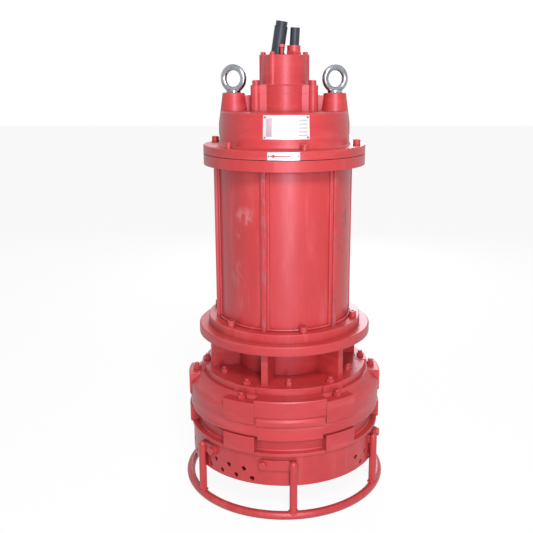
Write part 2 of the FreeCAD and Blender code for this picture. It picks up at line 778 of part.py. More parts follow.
def add_discharge(casing, channel):
    """A straight branch and drilled flange on the back, bored through to the channel."""
    bore = s.discharge_bore / 2
    neck_outer = bore + s.discharge_wall
    flange_outer = s.discharge_flange_diameter / 2
    face = s.discharge_face
    back = face - s.discharge_flange_thickness

    def branch(radius, near, far, cut=False):
        sketch = casing.sketch("XZ_Plane", lift=-near)
        casing.circle(sketch, 0, Z_DISCHARGE, radius)
        feature = casing._feature("Pocket" if cut else "Pad", sketch)
        feature.Length = (far - near).value
        bind(feature, "Length", far - near)
        feature.Reversed = not cut
        return feature

    branch(neck_outer, channel + 8, face - 5)
    branch(flange_outer, back, face)
    branch(bore, as_size(channel) - 40, face + 1, cut=True)
    sketch = casing.body.newObject("Sketcher::SketchObject", "discharge_bolt_hole")
    sketch.AttachmentSupport = (origin_part(casing.body, "XZ_Plane"), [""])
    sketch.MapMode = "FlatFace"
    sketch.AttachmentOffset = FreeCAD.Placement(
        Vector(0, Z_DISCHARGE.value, -(face + 1).value), FreeCAD.Rotation())
    bind(sketch, "AttachmentOffset.Base.y", Z_DISCHARGE)
    bind(sketch, "AttachmentOffset.Base.z", -(face + 1))
    half_pitch = math.pi / s.discharge_bolt_count.value
    across = s.discharge_pcd / 2 * math.sin(half_pitch)
    along = s.discharge_pcd / 2 * math.cos(half_pitch)
    casing.circle(sketch, across, along, s.discharge_hole_diameter / 2)
    hole = casing._feature("Pocket", sketch)
    hole.Length = (s.discharge_flange_thickness + 2).value
    bind(hole, "Length", s.discharge_flange_thickness + 2)
    hole.Reversed = True
    pattern = casing.body.newObject("PartDesign::PolarPattern", "discharge_bolt_holes")
    pattern.Refine = False
    pattern.Originals = [hole]
    pattern.Axis = (sketch, ["N_Axis"])
    pattern.Angle = 360.0
    bind(pattern, "Occurrences", s.discharge_bolt_count)
    casing.body.Tip = pattern


def add_foot_holes(solid, circle, first, low, high, radius):
    """A ring of stud holes under the lantern foot."""
    hole = solid.pad(lambda k: solid.circle(k, 0, -circle, radius),
                     low, high, cut=True, turn=first)
    solid.around(hole, s.lug_count)


def make_liners():
    """Wear plates above and below the impeller, and the gasket under the casing."""
    lower = Solid("suction_liner")
    channel = s.casing_neck_radius - s.casing_wall - 4
    eye = s.suction_radius
    lower.revolve([
        (eye, Z_BAND_TOP), (channel - 1, Z_BAND_TOP), (channel - 1, Z_BAND_TOP + s.liner_thickness),
        (eye + 4, Z_BAND_TOP + s.liner_thickness), (eye, Z_BAND_TOP + s.liner_thickness - 4)])
    gasket = Solid("casing_gasket")
    gasket_outer = s.casing_stud_radius - s.casing_stud_diameter / 2 - 1
    gasket.revolve([
        (channel, Z_BAND_TOP), (gasket_outer, Z_BAND_TOP), (gasket_outer, Z_CASING),
        (channel, Z_CASING)])
    upper = Solid("back_liner")
    roof = Z_CASING_TOP - s.casing_roof
    upper.revolve([
        (s.impeller_hub_radius + 4, roof - s.liner_thickness),
        (s.impeller_radius + 14, roof - s.liner_thickness),
        (s.impeller_radius + 14, roof), (s.impeller_hub_radius + 4, roof)])


# ---------------------------------------------------------------- lantern (oil chamber)
def make_lantern():
    """Foot flange, oil drum, radial ribs and head flange cast in one piece."""
    lantern = Solid("oil_lantern")
    bore = s.lantern_bore_radius
    drum = s.oil_drum_radius
    inside = drum - s.oil_drum_wall
    lantern.revolve([
        (bore, Z_CASING_TOP), (s.lantern_foot_radius, Z_CASING_TOP),
        (s.lantern_foot_radius, Z_FOOT_TOP), (drum, Z_FOOT_TOP), (drum, Z_HEAD),
        (s.lantern_head_radius, Z_HEAD), (s.lantern_head_radius, Z_MOTOR - 3),
        (s.lantern_head_radius - 3, Z_MOTOR), (bore, Z_MOTOR), (bore, Z_HEAD + 6),
        (inside, Z_HEAD), (inside, Z_FOOT_TOP), (bore, Z_FOOT_TOP - 6)])
    half = s.lantern_rib_thickness / 2

    def rib(sketch):
        lantern.polygon(sketch, [
            (-half, -s.lantern_rib_radius), (half, -s.lantern_rib_radius),
            (half, -(drum - 4)), (-half, -(drum - 4))])

    web = lantern.pad(rib, Z_FOOT_TOP - 1, Z_HEAD + 1, turn=s.lantern_rib_first_angle)
    lantern.around(web, s.lantern_rib_count)
    ear_outer = s.lantern_foot_radius + s.ear_proud
    ear_top = Z_FOOT_TOP + s.ear_step
    ear = lantern.revolve([
        (s.ear_circle_radius - 14, Z_CASING_TOP), (ear_outer, Z_CASING_TOP),
        (ear_outer, ear_top - 2), (ear_outer - 2, ear_top), (s.ear_circle_radius - 14, ear_top)],
        sweep=s.ear_sweep, start=s.lug_first_angle - s.ear_sweep / 2)
    lantern.around(ear, s.lug_count)
    for circle, first in ((s.lantern_stud_radius, s.lantern_stud_first_angle),
                          (s.ear_circle_radius, s.lug_first_angle)):
        add_foot_holes(lantern, circle, first, Z_CASING_TOP - 1, Z_FOOT_TOP + s.ear_step + 1,
                       LANTERN_STUD_HOLE)
    hole = lantern.pad(lambda k: lantern.circle(k, 0, -s.screw_circle_radius,
                                                s.screw_diameter / 2 + s.seat_gap),
                       Z_HEAD - 1, Z_MOTOR + 1, cut=True, turn=s.screw_first_angle)
    lantern.around(hole, s.screw_count)
    sketch = lantern.sketch("XZ_Plane", turn=s.oil_plug_angle)
    lantern.circle(sketch, 0, Z_FOOT_TOP + s.lantern_gap / 2, s.oil_plug_radius + s.seat_gap)
    port = lantern._feature("Pocket", sketch)
    port.Length = (drum + 5).value
    port.Reversed = True
    bind(port, "Length", drum + 5)


def make_seal_cover():
    """Back plate that closes the casing mouth, takes the inner studs and carries a seal seat."""
    cover = Solid("seal_cover")
    shaft = s.shaft_seal_radius + 2
    seat = SEAL_SEAT
    mouth = s.casing_mouth_radius - s.seat_gap
    low = Z_CASING_TOP - s.casing_roof
    cover.revolve([
        (shaft, low), (mouth, low), (mouth, Z_CASING_TOP),
        (s.lantern_bore_radius - s.seat_gap, Z_CASING_TOP),
        (s.lantern_bore_radius - s.seat_gap, Z_CASING_TOP + 8), (seat, Z_CASING_TOP + 8),
        (seat, Z_CASING_TOP - 4), (shaft, Z_CASING_TOP - 4)])
    add_foot_holes(cover, s.lantern_stud_radius, s.lantern_stud_first_angle,
                   Z_LANTERN_STUD, Z_CASING_TOP + 1, LANTERN_STUD_TAP)


def make_bearing_carrier():
    """Cup that holds the lower bearing and the upper seal seat over the oil chamber."""
    carrier = Solid("bearing_carrier")
    seat = s.lower_bearing_outer_radius + s.seat_gap
    outer = seat + s.carrier_wall
    carrier.revolve([
        (SEAL_SEAT, Z_CARRIER), (outer, Z_CARRIER), (outer, Z_MOTOR),
        (MOTOR_BORE - s.seat_gap, Z_MOTOR), (MOTOR_BORE - s.seat_gap, Z_MOTOR + 12),
        (seat, Z_MOTOR + 12), (seat, Z_LOWER_BEARING), (seat - 12, Z_LOWER_BEARING),
        (seat - 12, Z_LOWER_BEARING - 1.5), (s.shaft_seal_radius + 2, Z_LOWER_BEARING - 1.5),
        (s.shaft_seal_radius + 2, Z_CARRIER + 8), (SEAL_SEAT, Z_CARRIER + 8)])
    cover = Solid("lower_bearing_cover")
    top = Z_MOTOR + 12
    spigot = seat - s.seat_gap
    inside = spigot - s.bearing_ring_wall
    cover.revolve([
        (inside, Z_LOWER_BEARING + s.lower_bearing_height),
        (spigot, Z_LOWER_BEARING + s.lower_bearing_height), (spigot, top), (outer + 14, top),
        (outer + 14, top + 8), (s.shaft_body_radius + 2, top + 8), (s.shaft_body_radius + 2, top),
        (inside, top)])


# ---------------------------------------------------------------- motor
def make_motor_housing():
    """Welded tube with its foot and head rings."""
    housing = Solid("motor_housing")
    outer = s.motor_radius
    housing.revolve([
        (MOTOR_BORE, Z_MOTOR), (s.motor_foot_radius, Z_MOTOR),
        (s.motor_foot_radius, Z_MOTOR_FOOT_TOP - 2), (s.motor_foot_radius - 2, Z_MOTOR_FOOT_TOP),
        (outer + 5, Z_MOTOR_FOOT_TOP), (outer, Z_MOTOR_FOOT_TOP + 5),
        (outer, Z_MOTOR_HEAD - 4), (outer + 4, Z_MOTOR_HEAD), (s.motor_head_radius, Z_MOTOR_HEAD),
        (s.motor_head_radius, Z_MOTOR_TOP), (MOTOR_BORE, Z_MOTOR_TOP)])
    holes = (
        (Z_MOTOR - 1, Z_MOTOR_FOOT_TOP + 1, SCREW_HOLE),
        (Z_MOTOR_HEAD - 1, Z_MOTOR_TOP + 1, s.screw_diameter / 2 + s.seat_gap))
    for low, high, radius in holes:
        hole = housing.pad(lambda k, r=radius: housing.circle(k, 0, -s.screw_circle_radius, r),
                           low, high, cut=True, turn=s.screw_first_angle)
        housing.around(hole, s.screw_count)


def make_housing_ribs():
    """Flat bars welded upright on the tube."""
    outer = s.motor_radius + s.motor_rib_height
    wide = s.motor_rib_width.value
    low = Z_MOTOR_FOOT_TOP.value
    tall = s.motor_tube_length.value
    depth = s.motor_rib_height.value + 15
    bar = Part.makeBox(wide, depth, tall, Vector(-wide / 2, -outer.value, low))
    bar = bar.makeFillet(2.0, [e for e in bar.Edges if abs(e.Vertexes[0].Z - e.Vertexes[1].Z) > 50
                               and e.Vertexes[0].Y < -outer.value + 1])
    weld_foot = wide / 2 + 7
    weld = Part.makePolygon([Vector(-weld_foot, -s.motor_radius.value + 3, low),
                             Vector(-wide / 2 - 1, -s.motor_radius.value - 5, low),
                             Vector(wide / 2 + 1, -s.motor_radius.value - 5, low),
                             Vector(weld_foot, -s.motor_radius.value + 3, low),
                             Vector(-weld_foot, -s.motor_radius.value + 3, low)])
    bead = Part.Face(weld).extrude(Vector(0, 0, tall))
    shell = tube(s.motor_radius, NOTHING, as_size(low - 5), as_size(low + tall + 5))
    foot = Part.makeCone(s.motor_radius.value + 5, s.motor_radius.value, 5, Vector(0, 0, low))
    head = Part.makeCone(s.motor_radius.value, s.motor_radius.value + 4, 4,
                         Vector(0, 0, low + tall - 4))
    blank = bar.fuse(bead).removeSplitter()
    bars = [at_angle(blank, NOTHING, NOTHING, a).cut([shell, foot, head])
            for a in angles(s.motor_rib_first_angle, s.motor_rib_count)]
    keep("housing_ribs", Part.makeCompound(bars))


def core_heights():
    low = Z_MOTOR_FOOT_TOP + s.core_lift
    return low, low + s.core_length


def make_stator():
    low, high = core_heights()
    core = Solid("stator_core")
    bore = s.rotor_radius + s.air_gap
    core.revolve([(bore, low), (MOTOR_BORE, low), (MOTOR_BORE, high), (bore, high)])
    inner = bore + 12
    outer = MOTOR_BORE - 12
    over = s.winding_overhang

    def turns(near, far):
        step = (far - near) / 4
        return [(inner, near), (inner + 4, near + step * 3), (inner + 12, far),
                (outer - 12, far), (outer - 3, near + step * 3), (outer, near)]

    coils = [turned(turns(low, low - over)), turned(turns(high, high + over))]
    keep("stator_windings", Part.makeCompound(coils))


def make_top_cap():
    """Bell-shaped end cap with two eye-bolt bosses and the upper bearing seat."""
    cap = Solid("cap_casting", finished=False)
    foot, top = s.cap_foot_radius, s.cap_top_radius
    seat = s.upper_bearing_outer_radius + s.seat_gap
    hub = seat + 13
    roof = Z_CAP_TOP - s.cap_roof
    seat_low = Z_UPPER_BEARING
    cap.revolve([
        (MOTOR_BORE - 6, Z_CAP), (s.motor_head_radius, Z_CAP),
        (s.motor_head_radius, Z_CAP_FLANGE_TOP - 2), (s.motor_head_radius - 2, Z_CAP_FLANGE_TOP),
        (foot + 6, Z_CAP_FLANGE_TOP), (foot + 1.8, Z_CAP_FLANGE_TOP + 2.5),
        (foot, Z_CAP_FLANGE_TOP + s.cap_foot_round), (top, Z_CAP_TOP - 3), (top - 3, Z_CAP_TOP),
        (seat - 22, Z_CAP_TOP), (seat - 22, roof), (seat - 10, roof),
        (seat - 10, seat_low + s.upper_bearing_height),
        (seat, seat_low + s.upper_bearing_height), (seat, seat_low), (hub, seat_low),
        (hub, roof), (top - s.cap_wall - 4, roof), (foot - s.cap_wall, Z_CAP_FLANGE_TOP),
        (MOTOR_BORE - 6, Z_CAP_FLANGE_TOP - 6)])
    doc.recompute()
    blank = cap.body.Shape
    keep_out = Part.makeCone((foot - s.cap_wall).value, (top - s.cap_wall).value,
                             s.cap_height.value, Vector(0, 0, Z_CAP_FLANGE_TOP.value))
    parts = []
    sink = s.eye_boss_sink.value
    rise = s.eye_boss_height.value
    slope = (s.eye_boss_foot_radius - s.eye_boss_top_radius).value / rise
    for side in (-1, 1):
        boss = Part.makeCone(s.eye_boss_foot_radius.value + slope * sink,
                             s.eye_boss_top_radius.value, rise + sink,
                             Vector(side * s.eye_spacing.value, 0, Z_CAP_TOP.value - sink))
        boss = boss.makeFillet(3.0, [e for e in boss.Edges if isinstance(e.Curve, Part.Circle)
                                     and e.Curve.Radius < s.eye_boss_top_radius.value + 0.1])
        parts.append(boss)
        web_high = rise - s.web_top_drop.value
        start = (s.terminal_ear_x + s.running_gap).value
        web = Part.makeBox(s.eye_spacing.value - start, s.web_thickness.value,
                           web_high + 5, Vector(start, -s.web_thickness.value / 2,
                                                Z_CAP_TOP.value - 5))
        if side < 0:
            web.rotate(ORIGIN, UP, 180)
        parts.append(web)
    room = Part.makeCylinder(s.cap_foot_radius.value, s.cap_height.value + rise + 5,
                             Vector(0, 0, Z_CAP_FLANGE_TOP.value))
    inside = keep_out.common(Part.makeCylinder(
        s.cap_foot_radius.value, (roof - Z_CAP_FLANGE_TOP).value,
        Vector(0, 0, Z_CAP_FLANGE_TOP.value)))
    cutters = [inside]
    for side in (-1, 1):
        cutters.append(Part.makeCylinder(
            s.eye_shank_diameter.value / 2 + 0.1, s.eye_shank_length.value + 6,
            Vector(side * s.eye_spacing.value, 0,
                   Z_CAP_TOP.value + rise - s.eye_shank_length.value - 5)))
    tapped = s.box_screw_diameter.value / 2 + s.seat_gap.value
    for x, y in ear_places():
        cutters.append(Part.makeCylinder(tapped, s.cap_roof.value,
                                         Vector(x.value, y.value, (roof + 3).value)))
    bosses = parts[0].fuse(parts[1:]).common(room).cut(cutters[0])
    bosses = bosses.cut(Part.makeCone(
        (foot - s.cap_wall).value, (top - s.cap_wall - 4).value,
        (roof - Z_CAP_FLANGE_TOP).value, Vector(0, 0, Z_CAP_FLANGE_TOP.value)))
    solid = blank.fuse(bosses).cut(cutters[1:])
    holes = [at_angle(Part.makeCylinder(SCREW_HOLE.value, s.cap_flange_thickness.value + 2),
                      s.screw_circle_radius, Z_CAP - 1, a)
             for a in angles(s.screw_first_angle, s.screw_count)]
    keep("top_cap", solid.cut(holes))
    gasket = Solid("cap_gasket")
    gasket.revolve([(MOTOR_BORE, Z_MOTOR_TOP), (s.screw_circle_radius - 8, Z_MOTOR_TOP),
                    (s.screw_circle_radius - 8, Z_CAP), (MOTOR_BORE, Z_CAP)])


def cap_radius(height):
    """Outer radius of the cap's tapered wall at a height."""
    low = Z_CAP_FLANGE_TOP + s.cap_foot_round
    high = Z_CAP_TOP - 3
    slope = (s.cap_top_radius - s.cap_foot_radius) / (high - low)
    return s.cap_foot_radius + slope * (height - low)


def make_plates():
    """Blank rating plate on the cap and blank arrow plate on the flange rims."""
    plate = Solid("nameplate")
    high = Z_CAP_TOP - s.nameplate_top_drop - 1
    low = high - s.nameplate_height
    near, far = cap_radius(low), cap_radius(high)
    plate.revolve([(near, low), (near + s.plate_thickness, low), (far + s.plate_thickness, high),
                   (far, high)], sweep=s.nameplate_width_angle,
                  start=s.nameplate_angle - s.nameplate_width_angle / 2)
    arrow = Solid("arrow_plate")
    rim = s.motor_head_radius + s.seat_gap
    middle = (Z_CAP + Z_CAP_FLANGE_TOP) / 2 - 1
    half = s.arrow_plate_height / 2
    arrow.revolve([(rim, middle - half), (rim + s.plate_thickness, middle - half),
                   (rim + s.plate_thickness, middle + half), (rim, middle + half)],
                  sweep=s.arrow_plate_width_angle,
                  start=s.arrow_plate_angle - s.arrow_plate_width_angle / 2)
    rivets = []
    for height in (low + 5, high - 5):
        for side in (-1, 1):
            angle = s.nameplate_angle.value + side * (s.nameplate_width_angle.value / 2 - 1.6)
            rivets.append(rivet(cap_radius(height), height, angle))
    for side in (-1, 1):
        angle = s.arrow_plate_angle.value + side * (s.arrow_plate_width_angle.value / 2 - 1.1)
        rivets.append(rivet(rim, middle, angle))
    doc.recompute()
    plates = [plate.body.Shape, arrow.body.Shape]
    keep("plate_rivets", Part.makeCompound([head.cut(plates) for head in rivets]))


def rivet(surface, height, angle):
    """The head of a drive rivet; its seat is cut to the plate afterwards."""
    head = Part.makeCylinder(2.6, 1.6, Vector(0, 0.4, 0), Vector(0, -1, 0))
    return at_angle(head, surface + s.plate_thickness, height, angle)


# ---------------------------------------------------------------- cable entry
def ear_places():
    x, y = s.terminal_ear_x, s.terminal_ear_y
    return ((x, y), (-x, y), (-x, -y), (x, -y))


def add_ears(solid, low, high, hole):
    """Four bolt ears with holes, tied to the round body by short bridges."""
    def bridge(sketch):
        x, y = s.terminal_ear_x, s.terminal_ear_y
        solid.polygon(sketch, [(-x, -(y + 9)), (x, -(y + 9)), (x, y + 9), (-x, y + 9)])

    solid.pad(bridge, low, high)
    for x, y in ear_places():
        solid.pad(lambda k, x=x, y=y: solid.circle(k, x, y, s.terminal_ear_radius), low, high)
    for x, y in ear_places():
        solid.pad(lambda k, x=x, y=y: solid.circle(k, x, y, hole), low - 1, high + 1, cut=True)


def make_terminal_base():
    base = Solid("terminal_base")
    inner = s.terminal_radius - s.terminal_wall
    base.pad(lambda k: base.circle(k, 0, 0, s.terminal_radius), Z_CAP_TOP, Z_TERMINAL_TOP)
    add_ears(base, Z_CAP_TOP, Z_TERMINAL_TOP, s.box_screw_diameter / 2 + s.seat_gap)
    base.pad(lambda k: base.circle(k, 0, 0, inner), Z_CAP_TOP - 1, Z_TERMINAL_TOP + 1, cut=True)
    base.pad(lambda k: base.circle(k, 0, 0, inner + 5), Z_TERMINAL_TOP - 8, Z_TERMINAL_TOP + 1,
             cut=True)
    board = Solid("terminal_board")
    board.revolve([(0, Z_TERMINAL_TOP - 8), (inner + 5 - s.seat_gap, Z_TERMINAL_TOP - 8),
                   (inner + 5 - s.seat_gap, Z_TERMINAL_TOP), (0, Z_TERMINAL_TOP)])
    hole = board.pad(lambda k: board.circle(k, 0, -(inner - 20), 4.1),
                     Z_TERMINAL_TOP - 9, Z_TERMINAL_TOP + 1, cut=True)
    board.around(hole, s.lug_count)
    post = Part.makeCylinder(4.0, 44, Vector(0, 0, -24))
    post = post.fuse(hexagon(13.0, 0.0, 6.0))
    post = post.fuse(hexagon(13.0, 0.0, 6.0).translated(Vector(0, 0, -14)))
    group("terminal_posts", post, inner - 20, Z_TERMINAL_TOP, angles(NOTHING, s.lug_count))


def lead_axis(offset, lean):
    """Where a lead leaves the box roof and which way it points."""
    tilt = math.radians(lean.value)
    start = Vector(offset.value, 0, Z_BOX_TOP.value)
    return start, Vector(math.sin(tilt), 0, math.cos(tilt))


def make_cable_box():
    """Tapered box with a bolted foot, screw columns and two cable entries in its roof."""
    box = Solid("cable_box")
    foot, top = s.cable_box_foot_radius, s.cable_box_top_radius
    box.pad(lambda k: box.circle(k, 0, 0, s.terminal_radius), Z_TERMINAL_TOP, Z_CABLE_FOOT_TOP)
    add_ears(box, Z_TERMINAL_TOP, Z_CABLE_FOOT_TOP, s.box_screw_diameter / 2 + s.bolt_gap)
    box.revolve([(0, Z_CABLE_FOOT_TOP - 1), (foot + 3, Z_CABLE_FOOT_TOP - 1),
                 (foot + 3, Z_CABLE_FOOT_TOP), (foot, Z_CABLE_FOOT_TOP + 3),
                 (top, Z_BOX_TOP - 2), (top - 2, Z_BOX_TOP), (0, Z_BOX_TOP)])
    pairs = (s.cable_column_first_angle, s.cable_column_first_angle + s.cable_column_step)
    for first in pairs:
        column = box.pad(
            lambda k: box.circle(k, 0, -s.cable_column_circle, s.cable_column_radius),
            Z_CABLE_FOOT_TOP - 1, Z_BOX_TOP, turn=first)
        box.around(column, 2)
    wall = s.cable_box_wall
    roof = Z_BOX_TOP - s.cable_box_roof
    box.revolve([(0, Z_TERMINAL_TOP - 1), (foot - wall, Z_TERMINAL_TOP - 1), (foot - wall, roof - 20),
                 (foot - wall - 8, roof), (0, roof)], cut=True)
    for first in pairs:
        screw = box.pad(lambda k: box.circle(k, 0, -s.cable_column_circle, 4.1),
                        Z_CABLE_FOOT_TOP + 20, Z_BOX_TOP + 1, cut=True, turn=first)
        box.around(screw, 2)
    entry = s.power_lead_diameter / 2 + s.grommet_wall
    box.pad(lambda k: box.circle(k, s.power_lead_x, 0, entry), roof - 1, Z_BOX_TOP + 1, cut=True)
    box.pad(lambda k: box.circle(k, s.control_lead_x, 0, s.gland_radius - 3),
            roof - 1, Z_BOX_TOP + 1, cut=True)
    box.pad(lambda k: box.circle(k, -6, -33, 4.1), roof + 2, Z_BOX_TOP + 1, cut=True)


def make_leads():
    """Rubber lead sleeves, the grommet, the gland and the clamp screw on the box roof."""
    roof = Z_BOX_TOP - s.cable_box_roof
    start, way = lead_axis(s.power_lead_x, s.power_lead_lean)
    radius = s.power_lead_diameter.value / 2
    below = s.cable_box_roof.value + 10
    tip = 12.0
    long = s.power_lead_length.value - tip
    sleeve = Part.makeCylinder(radius, long + below, start - way * below, way)
    end = Part.makeCylinder(radius - 2, tip, start + way * long, way)
    power = keep("power_lead_sleeve", sleeve.fuse(end))
    ring = Part.makeCylinder(radius + s.grommet_wall.value, s.cable_box_roof.value,
                             Vector(s.power_lead_x.value, 0, roof.value))
    lip = Part.makeCone(radius + s.grommet_wall.value + 1.5, radius + 2, 5,
                        Vector(s.power_lead_x.value, 0, Z_BOX_TOP.value))
    keep("lead_grommet", ring.fuse(lip).cut(power.Shape))
    start, way = lead_axis(s.control_lead_x, s.control_lead_lean)
    radius = s.control_lead_diameter.value / 2
    inner = radius - 2.5
    long = s.control_lead_length.value
    control = Part.makeCylinder(inner, long + below, start - way * below, way)
    jacket = Part.makeCylinder(radius, long - s.gland_height.value + 4,
                               start + way * (s.gland_height.value - 4), way)
    control = control.fuse(jacket)
    keep("control_lead_sleeve", control)
    gland = Part.makeCylinder(s.gland_radius.value, s.gland_height.value, start)
    gland = gland.fuse(Part.makeCylinder(s.gland_radius.value - 3.1, s.cable_box_roof.value,
                                         start - Vector(0, 0, s.cable_box_roof.value)))
    nut = hexagon(s.gland_radius.value * 2.1, 0.0, 9.0)
    nut.rotate(Vector(0, 0, 0), Vector(0, 0, 1), 30)
    nut.translate(start)
    keep("control_gland", gland.fuse(nut).cut(control))
    screw = Part.makeCylinder(4.0, 10, Vector(-6, -33, Z_BOX_TOP.value - 10))
    neck = Part.makeCylinder(4.0, 18, Vector(-6, -33, Z_BOX_TOP.value))
    head = hexagon(13.0, 0.0, 7.0)
    head.translate(Vector(-6, -33, Z_BOX_TOP.value + 18))
    keep("clamp_screw", screw.fuse([neck, head]))


def make_eye_bolts():
    """Lifting eyes screwed into the two bosses of the cap."""
    top = Z_CAP_TOP + s.eye_boss_height
    outer, inner = s.eye_outer_diameter.value / 2, s.eye_inner_diameter.value / 2
    rod = (outer - inner) / 2
    centre = s.eye_rise.value - outer
    ring = Part.makeTorus((outer + inner) / 2, rod, Vector(0, 0, centre), Vector(0, 1, 0))
    collar = Part.makeCylinder(s.eye_collar_radius.value, s.eye_collar_height.value - 3)
    collar = collar.fuse(Part.makeCone(s.eye_collar_radius.value, rod + 4, 3,
                                       Vector(0, 0, s.eye_collar_height.value - 3)))
    hole = Part.makeCylinder(inner, 4 * rod, Vector(0, 2 * rod, centre), Vector(0, -1, 0))
    length = s.eye_shank_length.value
    shank = Part.makeCylinder(s.eye_shank_diameter.value / 2, length, Vector(0, 0, -length))
    blank = ring.fuse(collar).cut(hole).fuse(shank)
    eyes = []
    for side in (-1, 1):
        eye = blank.copy()
        eye.rotate(ORIGIN, UP, side * s.eye_turn_angle.value)
        eye.translate(Vector(side * s.eye_spacing.value, 0, top.value))
        eyes.append(eye)
    keep("eye_bolts", Part.makeCompound(eyes))


# ---------------------------------------------------------------- fasteners
def socket_screw(diameter, length, head_diameter, head_height):
    """Cap screw standing head up, its seat at z = 0."""
    shank = Part.makeCylinder(diameter / 2, length, Vector(0, 0, -length))
    socket = hexagon(diameter * 0.83, head_height * 0.45, head_height + 1)
    edge = Part.makeCone(head_diameter / 2, head_diameter / 2 - 1.2, 1.2,
                         Vector(0, 0, head_height - 1.2))
    head = Part.makeCylinder(head_diameter / 2, head_height - 1.2).fuse(edge)
    return head.fuse(shank).cut(socket)


def stud(diameter, low, high):
    """A plain stud with a bevelled tip."""
    radius = diameter / 2
    rod = Part.makeCylinder(radius, high - low - 1.5, Vector(0, 0, low))
    return rod.fuse(Part.makeCone(radius, radius - 1.5, 1.5, Vector(0, 0, high - 1.5)))


def nut(flats, bore, low, high):
    """A plain nut with its bore on the stud's own size."""
    blank = hexagon(flats, low, high)
    return blank.cut(Part.makeCylinder(bore, high - low + 2, Vector(0, 0, low - 1)))


def make_casing_fasteners():
    radius = s.casing_stud_diameter.value
    places = angles(s.lug_first_angle, s.lug_count)
    seat = Z_LUG_TOP.value
    rod = stud(radius, Z_BAND.value, seat + 18)
    group("casing_studs", rod, s.casing_stud_radius, NOTHING, places)
    group("casing_nuts", nut(18.0, radius / 2, seat, seat + 11), s.casing_stud_radius,
          NOTHING, places)


def make_lantern_fasteners():
    diameter = s.lantern_stud_diameter.value
    low = Z_LANTERN_STUD.value
    rings = ((s.lantern_stud_radius, s.lantern_stud_first_angle, Z_FOOT_TOP.value),
             (s.ear_circle_radius, s.lug_first_angle, (Z_FOOT_TOP + s.ear_step).value))
    studs, nuts = [], []
    for circle, first, seat in rings:
        for angle in angles(first, s.lug_count):
            studs.append(at_angle(stud(diameter, low, seat + 16), circle, NOTHING, angle))
            nuts.append(at_angle(nut(18.0, diameter / 2, seat, seat + 10), circle, NOTHING, angle))
    keep("lantern_studs", Part.makeCompound(studs))
    keep("lantern_nuts", Part.makeCompound(nuts))


def make_flange_screws():
    diameter = s.screw_diameter.value
    screw = socket_screw(diameter, s.motor_foot_thickness.value + 20, 19.0, 12.0)
    washer = tube(as_size(10), s.screw_diameter / 2 + 0.3, NOTHING, as_size(3))
    slit = Part.makeBox(20, 1.6, 5, Vector(0, -0.8, -1))
    washer = washer.cut(slit)
    places = angles(s.screw_first_angle, s.screw_count)
    seats = (Z_CAP_FLANGE_TOP + 3, Z_MOTOR_FOOT_TOP + 3)
    screws = [at_angle(screw, s.screw_circle_radius, seat, a) for seat in seats for a in places]
    keep("flange_screws", Part.makeCompound(screws))
    washers = [at_angle(washer, s.screw_circle_radius, seat - 3, a) for seat in seats
               for a in places]
    keep("spring_washers", Part.makeCompound(washers))
    bolt = socket_screw(s.box_screw_diameter.value,
                        (Z_CABLE_FOOT_TOP - Z_CAP_TOP + s.cap_roof).value - 4, 18.0, 12.0)
    bolts = []
    for x, y in ear_places():
        copy = bolt.copy()
        copy.translate(Vector(x.value, y.value, Z_CABLE_FOOT_TOP.value))
        bolts.append(copy)
    keep("box_screws", Part.makeCompound(bolts))
    places = [a for first in (s.cable_column_first_angle,
                              s.cable_column_first_angle + s.cable_column_step)
              for a in angles(first, as_size(2))]
    group("column_screws", socket_screw(8.0, 40, 13.0, 7.0), s.cable_column_circle, Z_BOX_TOP,
          places)
    under = socket_screw(s.strainer_screw_diameter.value, 20, 16.0, 8.0)
    under.rotate(ORIGIN, Vector(1, 0, 0), 180)
    group("strainer_screws", under, s.strainer_screw_radius, Z_STRAINER_TOP,
          angles(NOTHING, s.lug_count))


def make_oil_plug():
    """Hexagon plug in the wall of the oil drum, on the back of the lantern."""
    head = hexagon(24.0, 0.0, 9.0)
    plug = head.fuse(Part.makeCylinder(15.0, 2.0, Vector(0, 0, 0)))
    wall = s.oil_drum_wall.value
    plug = plug.fuse(Part.makeCylinder(s.oil_plug_radius.value, wall, Vector(0, 0, -wall)))
    plug.rotate(ORIGIN, Vector(1, 0, 0), 90)
    keep("oil_plug", at_angle(plug, s.oil_drum_radius, Z_FOOT_TOP + s.lantern_gap / 2,
                              s.oil_plug_angle.value))


